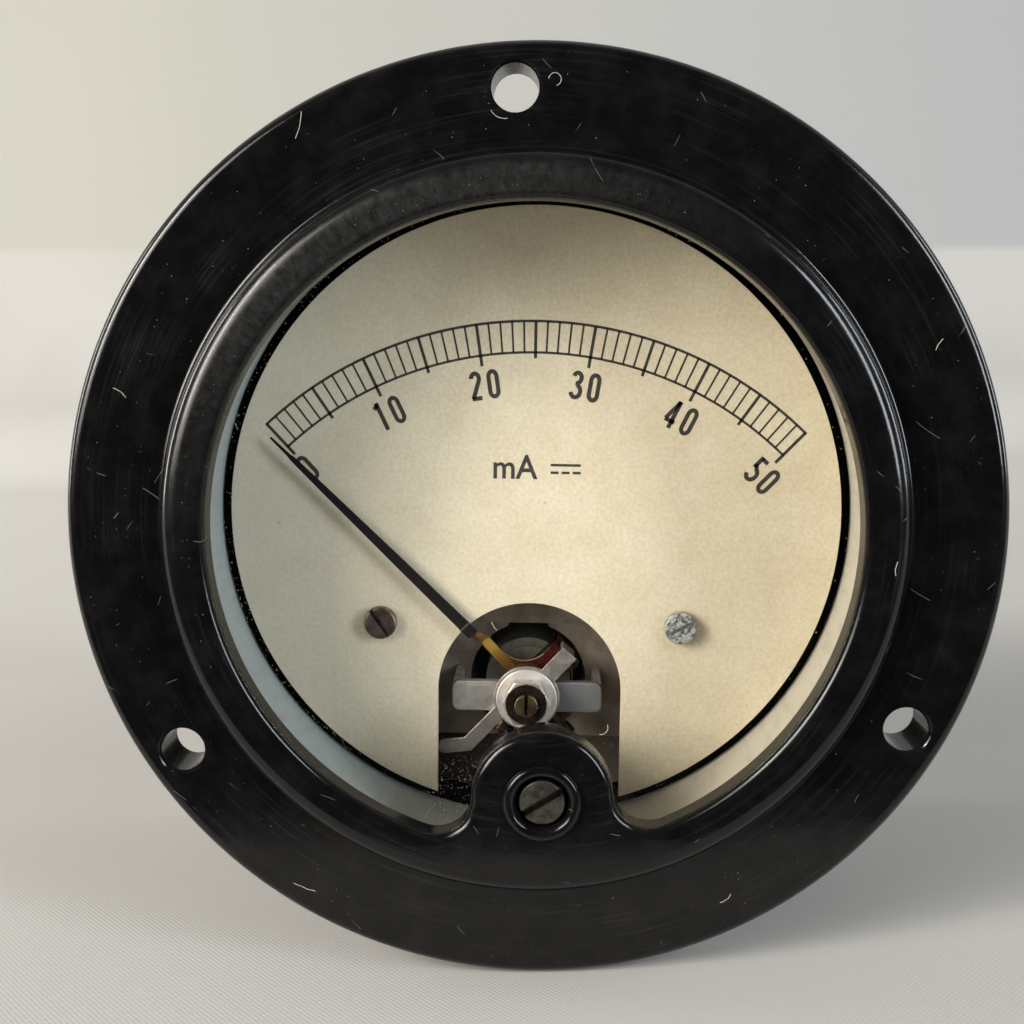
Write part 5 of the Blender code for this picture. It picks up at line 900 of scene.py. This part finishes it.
def dial_screws():
    head = rounded([(0.0, 0.9, 0.0), (1.65, 0.9, 0.9 * 0.28), (1.65, 0.0, 0.05), (0.8, 0.0, 0.0), (0.8, -4.8, 0.0),
                    (0.0, -4.8, 0.0)], closed=False)
    profile = [(radius, z + (DIAL_FRONT + 0.15)) for radius, z in head]
    for side, x, angle, look in (("left", -14.92, -55.0, "dull_steel"), ("right", 15.48, 28.0, "corroded_steel")):
        slotted("dial_fixing_" + side, profile, PIVOT, "case", look, (2.5, 0.21, 0.5), angle,
                "dial_screw_" + side, (x, 8.27))


window_liner_and_dial()
scale_printing()
unit_mark()
dial_screws()


# ---------------------------------------------------------------- movement

def assign(look, *nodes):
    """A CAD node whose shape is right keeps it and takes a finish."""
    for name in nodes:
        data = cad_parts[name].data
        data.materials.clear()
        data.materials.append(LOOKS[look])


def paint_end(piece, look, level):
    """The flat end of a piece at a level takes a second finish."""
    piece.data.materials.append(LOOKS[look])
    for polygon in piece.data.polygons:
        if all(abs(piece.data.vertices[v].co.y * 1000 + level) < 0.06 for v in polygon.vertices):
            polygon.material_index = 1


def hex_nut(name, flats, back, front, bore, crown, axes, look, node, both=False, ease=0.22):
    """A hexagon nut, its corners turned off to a crown, bored with a small countersink."""
    corner, slope, past = flats / math.sqrt(3.0), math.tan(math.radians(30.0)), 0.2
    piece = build(name, slab_data([arc((0.0, 0.0), corner, 0.0, 360.0, 6)[:-1]], back, front), axes, "case", look)
    out = corner + 1.0
    fall, rim = (out - crown) * slope, crown - past / slope
    turning = [(0.0, front + past), (rim, front + past), (out, front - fall)]
    turning += ([(out, back + fall), (rim, back - past), (0.0, back - past)] if both
                else [(out, back - 1), (0.0, back - 1)])
    boolean(piece, [temporary(lathe_data(turning, 96), axes)], "INTERSECT")
    wide = bore + ease + 1
    hole = [(0.0, front + 1), (wide, front + 1), (bore, front - ease), (bore, back + ease), (wide, back - 1),
            (0.0, back - 1)]
    boolean(piece, [temporary(lathe_data(hole, 64), axes)])
    return keep(piece, node)


def movement_front():
    bar = [oblong(-7.81, -1.6, 7.81, 1.6, 0.8, 10), circle((0, 0), JEWEL_BORE, 48)]
    keep(slab("bridge_bar", bar, BAR_BACK, BAR_FRONT, PIVOT, "case", "dulled_aluminium", 0.12),
         "front_bridge")
    for name, side in (("left", -1), ("right", 1)):
        leg = oblong(side * 6.91, -1.45, side * 7.75, 1.45, 0.1)
        keep(slab("bridge_leg_" + name, [leg], -12.7, -6.9, PIVOT, "case", "aluminium", 0.05))
    axis = PIVOT.inverted().translation
    for name, left, right in (("left", -10.4, -2.4), ("right", 1.8, 10.8)):
        across = [left + (right - left) * i / 8 for i in range(9)]
        card = [(x, axis.y - math.sqrt(POCKET**2 - (x - axis.x) ** 2)) for x in across]
        card += [(right, -6.36), (left, -6.36)]
        keep(slab("lower_card_" + name, [card], -13.75, -13.15, PIVOT, "case", "lower_card"))
    nut = hex_nut("jewel_lock_nut", 4.4, NUT_BACK, NUT_FRONT, JEWEL_BORE, 2.1, PIVOT, "jewel_nut",
                  "front_jewel_nut", ease=0.04)
    paint_end(nut, "nut_face", NUT_FRONT)
    screw = rounded([(0.0, JEWEL_FRONT, 0.0), (1.2, JEWEL_FRONT, 0.12), (1.2, -8.15, 0.0), (0.65, -8.15, 0.0),
                     (0.0, -7.85, 0.0)], closed=False)
    slotted("jewel_screw", screw, PIVOT, "case", "brown_brass", (2.0, 0.17, 1.1), 90.0,
            "front_jewel_screw")
    washer = [(JEWEL_BORE, -5.17), (3.05, -5.15), (3.15, -5.25), (3.15, -5.4), (3.1, -5.45), (JEWEL_BORE, -5.45)]
    keep(lathe("friction_washer", washer, PIVOT, "case", "washer_steel", closed=True), "lever_washer")


def zero_lever():
    way, reach = ZERO_FROM_PIVOT.normalized(), ZERO_FROM_PIVOT.length + 0.9
    spring_arm = [(0.0, 0.0), turned_point(0.0, TAB_INSIDE + 0.5, -SPRING_ARM_ANGLE)]
    limbs = [(((-2.0, -0.7), (-6.1, -5.1), (-8.5, -5.4)), 1.5, True),
             ([(0.0, 0.0), tuple(way * (reach + 0.9))], 2.8, True), (spring_arm, SPRING_ARM_WIDTH, False)]
    data = slab_data([hub_with_limbs(HUB, limbs), circle((0, 0), JEWEL_BORE, 48)], LEVER_BACK, LEVER_FRONT, 0.08)
    lever = build("lever", data, PIVOT, "zero_lever", "lever_nickel")
    right, left = strap_sides([tuple(way * (reach - 1.8)), tuple(way * (reach + 3.7))], 1.3)
    fork = round_end(right[-1], left[-1]) + round_end(left[0], right[0])
    boolean(lever, [temporary(slab_data([fork], LEVER_BACK - 1, LEVER_FRONT + 1), PIVOT)])
    keep(lever, "zero_lever")
    tab = rounded([(-0.815, -9.01, 0.2), (0.815, -9.01, 0.2), (0.815, -5.8, 0.0), (-0.815, -5.8, 0.0)])
    keep(build("lever_tab", slab_data([tab], -(TAB_INSIDE + 0.4), -TAB_INSIDE, 0.05),
               PIVOT @ turn(-SPRING_ARM_ANGLE) @ UPRIGHT, "zero_lever", "lever_nickel"))


def spiral(level, direction, name, tight=False):
    """A flat spiral strip, or one wound tightly with its outer end led out to where it is held."""
    points, turns, per = [], 6, 48
    for i in range(turns * per + 1):
        a, share = direction * 2 * math.pi * i / per, i / (turns * per)
        r = 1.5 + (1.35 * share + 2.95 * share ** 26 if tight else 4.3 * share)
        points.append((r * math.cos(a), r * math.sin(a), level))
    strip = tube(name + "_strip", points, (0.06, 0.26), POINTER, "moving_coil", "spring_bronze", 8, power=0.5)
    keep(strip, name)


def coil_frame(name, inner, front, back, width, look, node=None):
    outer = inner + 0.3
    loops = [oblong(-outer, back, outer, front, 0.7), oblong(-inner, back + 0.3, inner, front - 0.3, 0.4)]
    frame_piece = slab(name, loops, -width / 2, width / 2, POINTER @ UPRIGHT, "moving_coil", look, 0.04)
    keep(frame_piece, node)


def coil():
    """Former and winding: fine wires side by side, laid in two layers round the former."""
    verts, faces = [], []
    for layer, number in ((layer, number) for layer in range(2) for number in range(13)):
        offset = -1.2 + WIRE_PITCH * number + WIRE_PITCH / 2 * layer
        grow = 0.12 + WIRE_PITCH * layer
        half, top, low = FORMER_HALF + grow, WINDING_FRONT - 0.45 + grow, WINDING_BACK + 0.45 - grow
        path = oblong(-half, low, half, top, 0.5 + grow)
        sections = []
        for i, p in enumerate(path):
            along = (Vector(path[(i + 1) % len(path)]) - Vector(path[i - 1])).normalized()
            normal = Vector((along.y, -along.x))
            ring = []
            for t in (2 * math.pi * s / 6 for s in range(6)):
                q = Vector(p) + normal * (WIRE_RADIUS * math.cos(t))
                ring.append((q.x, offset + WIRE_RADIUS * math.sin(t), q.y))
            sections.append(ring)
        more, _, sides = loft(sections, closed=True, start=len(verts))
        verts += more
        faces += sides
    keep(build("winding_wires", (verts, faces), POINTER, "moving_coil", "red_wire", sharp=70.0),
         "coil_winding")
    coil_frame("winding_bed", FORMER_HALF, WINDING_FRONT - 0.15, WINDING_BACK + 0.15, 2.3, "winding_dark")
    coil_frame("former", 5.0, WINDING_FRONT - 0.6, WINDING_BACK + 0.6, 3.0, "former_dark", "coil_former")


def ribbon(name, sections, look, node, sharp):
    verts, rows, faces = loft(sections)
    piece = build(name, (verts, faces + [rows[0], rows[-1][::-1]]), POINTER, "moving_coil", look, sharp=sharp)
    keep(piece, node)


def pointer():
    """The blade, its amber root, the shellac that runs over the winding and the band where blade and root meet."""
    length, root, offset = 37.3, 9.05, 1.08

    def middle(reach):
        return offset * (length - reach) / (length - root)

    shoulder = length - 3.0
    rows = [(root, 1.24), (root + 1.6, 1.24), (20.0, 1.04), (30.0, 0.74), (shoulder, 0.54), (shoulder + 0.5, 0.34),
            (length, 0.22)]
    section = ((-0.5, 0.05), (-0.43, 0.24), (0.43, 0.24), (0.5, 0.05), (0.45, 0.0), (-0.45, 0.0))
    ribbon("needle", [[(middle(y) + dx * width, y, BLADE_BACK + dz) for dx, dz in section] for y, width in rows],
           "blackened_aluminium", "pointer_blade", 25.0)
    path = [Vector((y, z)) for y, z, _, _ in ROOT_PATH]
    section = ((-0.5, -0.14), (-0.46, 0.13), (-0.2, 0.17), (0.2, 0.17), (0.46, 0.13), (0.5, -0.14))
    sections = []
    for at, (along, _), (_, _, x, width) in zip(path, headings(path), ROOT_PATH):
        up = Vector((-along.y, along.x))
        sections.append([(x + dx * width, *(at + up * lift)) for dx, lift in section])
    ribbon("pointer_foot", sections, "amber_arm", "pointer_root", 50.0)
    web_arc = arc(WEB_CENTRE, WEB_RADIUS, 180.0, 268.0, 40)
    web = [(5.35, 1.35), *web_arc[::-1], (0.53, 5.6), (-0.53, 5.6), *arc((-1.73, 2.7), 1.2, 0.0, -90.0, 12),
           (-2.2, 1.5), (-2.2, -1.35), (5.35, -1.35)]
    keep(slab("shellac_web", [web], -11.12, -10.5, POINTER, "moving_coil", "wound_shellac", 0.12))
    edge = [(*point, -10.52) for point in web_arc]
    keep(tube("web_edge", edge, (0.06, 0.06), POINTER, "moving_coil", "cream_shellac", 8))
    keep(slab("blade_band", [oblong(-0.63, 10.1, 0.63, 10.32, 0.0)], BLADE_BACK - 0.03, BLADE_BACK + 0.27,
              POINTER @ shift(middle(10.2), 0.0), "moving_coil", "band_grey", 0.04))


# y, z, x and width of the strip from the hub to the blade
ROOT_PATH = ((-1.6, -10.25, 0.0, 1.3), (2.0, -10.25, 0.0, 1.3), (5.0, -10.2, 0.02, 1.12), (6.5, -9.75, 0.15, 1.1),
             (7.15, -9.3, 0.28, 1.08), (7.6, -8.6, 0.4, 1.06), (8.1, -7.1, 0.56, 1.05), (8.6, -5.4, 0.78, 1.05),
             (9.0, -4.1, 0.95, 1.05), (9.25, -3.68, 1.03, 1.03), (9.6, -3.55, 1.07, 1.0), (10.6, -3.55, 1.04, 1.0))


def balance():
    arms = (("left", 104.0, 6.14), ("right", -104.0, 6.14), ("tail", 180.0, 7.2))
    limbs = [([(0.0, 0.0), turned_point(0.0, reach, angle)], 0.5, False) for _, angle, reach in arms]
    cross = [hub_with_limbs(1.5, limbs), circle((0, 0), 0.65, 32)]
    keep(slab("balance_cross", cross, -9.9, -9.5, POINTER, "moving_coil", "brass", 0.06), "balance_arms")
    grooves = [(0.64 - 0.05 * (i % 2) - 0.06 * (i in (0, 8)), 0.65 - 1.3 * i / 8) for i in range(9)]
    for name, angle, reach in arms:
        axes = POINTER @ shift(*turned_point(0.0, reach - 0.95, angle), -9.7) @ turn(angle) @ turn(90.0, "X")
        weight = lathe("weight_" + name, [(0.38, 0.65), *grooves, (0.38, -0.65)], axes, "moving_coil", "brown_brass",
                       steps=32, closed=True)
        keep(weight, "balance_weight_" + name)


def core():
    step = CORE_FRONT - 0.3
    profile = rounded([(0.0, CORE_FRONT, 0.0), (3.75, CORE_FRONT, 0.08), (3.75, step, 0.0), (4.6, step, 0.12),
                       (4.6, CORE_BACK, 0.12), (0.0, CORE_BACK, 0.0)], closed=False)
    keep(lathe("core_face", profile, PIVOT, "case", "core_iron", steps=128), "core")


movement_front()
zero_lever()
spiral(-8.9, 1, "front_hairspring", tight=True)
spiral(-24.9, -1, "rear_hairspring")
coil()
pointer()
balance()
core()
assign("bright_steel", "front_pivot", "rear_pivot", "zero_screw_clip", "terminal_nut_inner_left",
       "terminal_nut_inner_right")
assign("magnet_steel", "magnet")
assign("soft_iron", "movement_plate", "pole_shoe_left", "pole_shoe_right")
assign("brass", "base_plate", "core_bracket", "rear_bridge", "solder_lug_left", "solder_lug_right")
assign("brown_brass", "rear_jewel_screw")
assign("nickel", "rear_spring_arm", "rear_jewel_nut")
assign("dull_steel", "yoke_screw_left", "yoke_screw_right")
assign("red_fibre", "shunt_bobbin")
assign("cotton_lead", "shunt_winding", "lead_left", "lead_right")


# ---------------------------------------------------------------- rear

def outwards(degrees):
    """Axes of a screw through the wall of the case, its z pointing out from the meter's axis."""
    return shift(0.0, 0.0, CASE_SCREW_LEVEL) @ turn(degrees) @ turn(90.0, "Y")


def rear_case():
    profile = rounded([(0.0, -35.75, 0.0), (32.8, -35.75, 1.1), (32.8, -7.3, 0.0), (33.9, -7.3, 0.0),
                       (33.9, 0.3, 0.12), (CASE, 0.3, 0.12), (CASE, CASE_BACK, 2.5), (0.0, CASE_BACK, 0.0)],
                      closed=False, steps=10)
    cup = lathe("case_cup", profile, COVER, "case", "black_phenolic", steps=256)
    pad = rounded([(0.0, -37.0, 0.0), (6.2, -37.0, 0.0), (6.2, -39.35, 0.25), (0.0, -39.35, 0.0)], closed=False)
    pad_bore = [(0.0, -34.0), (2.55, -34.0), (2.55, -41.0), (0.0, -41.0)]
    post = [(0.0, -24.55), (3.6, -24.55), (3.6, -37.0), (0.0, -37.0)]
    post_bore = [(0.0, -24.0), (1.55, -24.0), (1.55, -37.0), (3.0, -37.0), (3.0, -38.2), (4.0, -39.2), (0.0, -39.2)]
    sink = [(0.0, 36.0), (2.95, 36.0), (1.05, 34.1), (1.05, 33.4), (0.0, 33.4)]
    joins, cuts = [], []
    for x in (-TERMINAL_X, TERMINAL_X):
        joins.append(temporary(lathe_data(pad, 96, (x, 0.0))))
        cuts.append(temporary(lathe_data(pad_bore, 48, (x, 0.0))))
    for x in (-MOVEMENT_SCREW_X, MOVEMENT_SCREW_X):
        joins.append(temporary(lathe_data(post, 64, (x, MOVEMENT_SCREW_Y)), PIVOT))
        cuts.append(temporary(lathe_data(post_bore, 64, (x, MOVEMENT_SCREW_Y)), PIVOT))
    cuts += [temporary(lathe_data(sink, 48), outwards(angle)) for angle in SCREWS_ROUND_CASE]
    boolean(cup, joins, "UNION")
    boolean(cup, cuts)
    keep(cup, "rear_case")


def thread(radius, depth, pitch, top, bottom, steps=48):
    """A screw thread as a helical skin between two levels, with turned ends."""
    length, run_out = top - bottom, 0.4
    rows = int(length / pitch * 8)
    sections = []
    for z in (top - length * r / rows for r in range(rows + 1)):
        end = radius - run_out + run_out * min((top - z) / run_out, (z - bottom) / run_out, 1.0)
        section = []
        for s in range(steps):
            a, phase = 2 * math.pi * s / steps, ((top - z) / pitch - s / steps) % 1.0
            out = min(radius - depth * abs(2 * phase - 1.0), end)
            section.append((out * math.cos(a), out * math.sin(a), z))
        sections.append(section)
    verts, ends, faces = loft(sections)
    return verts, faces + [ends[0], ends[-1][::-1]]


def terminals():
    ring = rounded([(2.55, -39.5, 0.1), (5.0, -39.5, 0.15), (5.0, -40.3, 0.15), (2.55, -40.3, 0.1)], steps=4)
    for side, x in (("left", -TERMINAL_X), ("right", TERMINAL_X)):
        axes = shift(x, 0.0)
        keep(build("stud_" + side, thread(2.4, 0.28, 0.8, -31.95, -52.35), axes, "case", "brass", sharp=50.0),
             "terminal_stud_" + side)
        keep(lathe("washer_" + side, ring, axes, "case", "bright_steel", closed=True),
             "terminal_washer_" + side)
        hex_nut("nut_" + side, 8.0, -43.45, -40.45, 2.55, 3.95, axes, "bright_steel",
                "terminal_nut_outer_" + side, both=True)


def back_screws():
    profile = [(0.0, 34.9), (1.74, 34.9), (1.8, 34.84), (0.9, 34.0), (0.9, 32.7), (0.0, 32.7)]
    for number, angle in enumerate(SCREWS_ROUND_CASE, 1):
        slotted(f"case_fixing_{number}", profile, outwards(angle), "case", "dull_steel", (3.0, 0.25, 0.45),
                20.0 * number, f"case_screw_{number}")
    profile = [(0.0, CASE_BACK), (2.45, CASE_BACK), (2.7, -38.1), (2.7, -37.15), (1.4, -37.15), (1.4, -22.7),
               (0.0, -22.7)]
    for side, x, angle in (("left", -MOVEMENT_SCREW_X, 15.0), ("right", MOVEMENT_SCREW_X, -40.0)):
        slotted("movement_fixing_" + side, profile, PIVOT, "case", "dull_steel", (4.0, 0.375, 0.7), angle,
                "movement_screw_" + side, (x, MOVEMENT_SCREW_Y))


rear_case()
terminals()
back_screws()


# ---------------------------------------------------------------- stage, light and camera

def stage_material():
    """A pale woven cloth, paler towards its far end by painted light, and a wall of another tone above its far edge,
    warmer on the left by painted light and with painted shade of soft folds.
    """
    n = Nodes("backdrop")
    x, y, z = n.xyz()
    upper = n.fma(n.fma(x, 0.039, n.sub(z, 59.5)), 0.22, 0.5, clamp=True)
    # Painted light: the wall runs from a warm cream on the left to a cooler, darker grey-blue on the right.
    across = n.fma(x, 0.0016, 0.5, clamp=True)
    tone = n.ramp(n.noise(0.006), (0.35, (0.44, 0.42, 0.385)), (0.65, (0.485, 0.47, 0.445)))
    wall = n.ramp(across, (0.1, (0.44, 0.43, 0.375)), (0.9, (0.375, 0.375, 0.385)))
    # Painted shade of soft vertical folds, as darker streaks on the wall.
    painted_fold_shade = n.noise(1.0, 3.0, vector=n.vector(n.mul(x, 0.007), n.mul(z, 0.0012), 0.0))
    wall = n.mix(n.ramp(painted_fold_shade, (0.40, 0.0), (0.75, 0.25)), wall, (0.36, 0.345, 0.315))
    warp, weft = (n.math("SINE", n.mul(way, 11.0)) for way in (x, y))
    near = n.ramp(n.fma(y, -0.004, 0.5), (0.30, 0.0), (0.55, 1.0))
    weave = n.mul(n.fma(n.mul(warp, weft), 0.5, 0.5), near)
    tone = n.mix(n.mul(weave, 0.10), tone, (0.30, 0.29, 0.28))
    tone = n.mix(n.ramp(n.noise(0.011, distortion=0.6), (0.45, 0.0), (0.72, 0.22)), tone, (0.36, 0.34, 0.32))
    # Painted light: the floor is mixed to a paler tone towards its far end, short of the wall.
    distance = n.ramp(n.mul(y, 0.0025), (0.15, 0.0), (0.90, 1.0))
    before_wall = n.ramp(n.fma(z, 0.016, 0.75), (0.05, 1.0), (0.60, 0.0))
    tone = n.mix(n.mul(distance, before_wall), tone, (0.63, 0.61, 0.57))
    n.set(base_color=n.mix(upper, tone, wall), roughness=0.85)
    n.bump(weave, 0.25, 0.1)
    return n.material


def backdrop():
    """A seamless floor and wall, draped over the table's front edge, with its far edge as a soft line."""
    ground, wall, cove, drape, fall, half_width = -43.86, 520.0, 120.0, -36.0, 14.0, 1.4
    line = [(drape - fall, -700.0), *arc((drape, ground - fall), fall, 180.0, 90.0, 9),
            *arc((wall - cove, ground + cove), cove, -90.0, 0.0, 18), (wall, 900.0)]
    verts = [(x, y / 1000, z / 1000) for y, z in line for x in (-half_width, half_width)]
    mesh = bpy.data.meshes.new("backdrop")
    mesh.from_pydata(verts, [], [[2 * i, 2 * i + 1, 2 * i + 3, 2 * i + 2] for i in range(len(line) - 1)])
    for polygon in mesh.polygons:
        polygon.use_smooth = True
    mesh.materials.append(stage_material())
    link("backdrop", mesh)


# Name, place, aim, size, power and colour of each area light
LIGHTS = (("window_left", (-0.64, -0.47, 0.32), (0.0, 0.0, 0.0), (0.45, 0.60), 7.0, (1.0, 0.955, 0.88)),
          ("window_pane", (-0.66, -0.42, 0.34), (0.0, 0.0, 0.0), (0.08, 0.40), 3.9, (1.0, 0.965, 0.90)),
          ("window_right", (0.64, -0.42, 0.20), (0.0, 0.0, -0.01), (0.16, 0.50), 4.4, (0.86, 0.93, 1.0)),
          ("rim_left", (-0.80, 0.12, 0.22), (0.0, 0.0, 0.0), (0.12, 0.50), 2.2, (1.0, 0.98, 0.95)),
          ("rim_right", (0.80, 0.10, 0.20), (0.0, 0.0, 0.0), (0.12, 0.50), 1.8, (0.88, 0.94, 1.0)))


def lighting():
    """Windows and rims, in a room that is pale to the eye and dim behind the camera where it is mirrored."""
    n = Nodes("room", bpy.data.worlds, "Background")
    bpy.context.scene.world = n.material
    glossy, seen, through = (n.node("LightPath", {}, f"Is {kind} Ray") for kind in ("Glossy", "Camera", "Transmission"))
    pale, ambient, dim = (0.70, 0.69, 0.66), (0.37, 0.375, 0.38), (0.012, 0.013, 0.015)
    toward = n.node("MapRange", {"Value": n.xyz(n.node("TexCoord", {}, "Generated"))[1], "From Min": -0.45,
                                 "From Max": 0.6}, interpolation_type="SMOOTHSTEP")
    colour = n.mix(glossy, ambient, n.mix(toward, dim, pale))
    n.set(color=n.mix(through, n.mix(seen, colour, pale), pale), strength=1.0)
    for name, place, aim, size, power, colour in LIGHTS:
        light = bpy.data.lights.new(name, "AREA")
        light.shape, light.energy, light.color = "RECTANGLE", power, colour
        light.size, light.size_y = size
        made = link(name, light)
        made.location = place
        made.rotation_euler = (Vector(aim) - Vector(place)).to_track_quat("-Z", "Y").to_euler()


def camera():
    data = bpy.data.cameras.new("camera")
    data.sensor_width, data.lens, data.clip_start = 36.0, 42.08, 0.005
    forward = Vector((-0.0388, 0.9879, -0.1499)).normalized()
    right = forward.cross(Vector((0.0349, 0.1513, 0.9879))).normalized()
    aim = Matrix((right, right.cross(forward), -forward)).transposed().to_4x4()
    made = link("camera", data)
    made.matrix_world = shift(0.002486, -0.11439, 0.018667) @ aim
    bpy.context.scene.camera = made


# x, y, level, heading, length and total turn of each fibre
LINT = ((3.6, 39.6, FLANGE_FRONT + 0.06, 20.0, 2.4, 250.0), (-2.2, 37.8, FLANGE_FRONT + 0.06, -60.0, 1.7, 70.0),
        (-19.6, 36.2, FLANGE_FRONT + 0.06, 62.0, 2.4, 25.0), (32.4, -4.4, BEZEL_FACE + 0.05, 100.0, 1.3, -40.0),
        (-4.1, -8.2, GLASS_FRONT + 0.05, -75.0, 0.9, 30.0), (5.6, -19.4, GLASS_FRONT + 0.05, -10.0, 1.5, 130.0),
        (-24.5, -33.6, FLANGE_FRONT + 0.06, -30.0, 2.2, 12.0), (16.7, -36.6, FLANGE_FRONT + 0.06, 10.0, 1.4, 60.0),
        (36.6, 15.4, FLANGE_FRONT + 0.06, 70.0, 1.2, -30.0), (-36.8, 14.0, FLANGE_FRONT + 0.06, 120.0, 1.5, 45.0))


def dust():
    """Fine grit on the window, in the gap round the dial and on the cover, and curled lint on the front."""
    draw = random.Random(5)
    verts, faces = [], []

    def speck(x, y, z, size):
        base = len(verts)
        for dx, dy, dz in ((1, 0, 0), (0, 1, 0), (-1, 0, 0), (0, -1, 0), (0, 0, 1), (0, 0, -1)):
            grow = size * draw.uniform(0.6, 1.3)
            verts.append((x + dx * grow, y + dy * grow, z + dz * grow * 0.6))
        for a in range(4):
            b = (a + 1) % 4
            faces.extend(([base + a, base + b, base + 4], [base + b, base + a, base + 5]))

    def speck_on_glass(x, y, smallest, largest):
        if math.hypot(x, y) < OPENING - 0.1 and math.hypot(x, y - ZERO_AT[1]) > BOSS_RADIUS:
            speck(x, y, GLASS_FRONT + 0.02, draw.uniform(smallest, largest))

    for _ in range(300):
        angle = draw.choice((draw.uniform(110.0, 178.0), draw.uniform(-2.0, 60.0), draw.uniform(20.0, 178.0)))
        out = BOSS_RADIUS + 0.05 + 3.2 * draw.random() ** 1.6
        speck_on_glass(*on_circle(out, angle, ZERO_AT), 0.012, 0.032)
    for count, right, top, sizes in ((110, 9.0, -9.5, (0.018, 0.04)), (300, -5.0, -21.5, (0.016, 0.05))):
        for _ in range(count):
            speck_on_glass(draw.uniform(-11.5, right), draw.uniform(-29.0, top), *sizes)
    for _ in range(420):
        angle = draw.choice((draw.uniform(95.0, 235.0), draw.uniform(-80.0, 260.0)))
        x, y = on_circle(draw.uniform(30.45, 31.6), angle)
        speck(x, y, draw.uniform(-4.9, -4.2), draw.uniform(0.03, 0.09))
    for count, angles, radii, level, largest in ((150, (0.0, 360.0), (35.4, 42.3), FLANGE_FRONT, 0.045),
                                                 (60, (60.0, 200.0), (30.9, 32.2), BEZEL_FACE, 0.04)):
        for _ in range(count):
            angle = draw.uniform(*angles)
            x, y = on_circle(draw.uniform(*radii), angle)
            speck(x, y, level + 0.01, draw.uniform(0.02, largest))
    keep(build("dust", (verts, faces), COVER, "case", "dust_grey"))
    for number, (x, y, z, heading, length, curl) in enumerate(LINT):
        points, place = [], Vector((x, y))
        for step in range(14):
            points.append((*place, z + 0.05 * math.sin(step * 0.9)))
            place = place + Vector(on_circle(1.0, heading + curl / 13 * step)) * (length / 13)
        keep(tube(f"lint_{number}", points, (0.035, 0.035), COVER, "case", "dust_grey", 6))


dust()
backdrop()
lighting()
camera()
bpy.context.scene.view_settings.view_transform = "Standard"
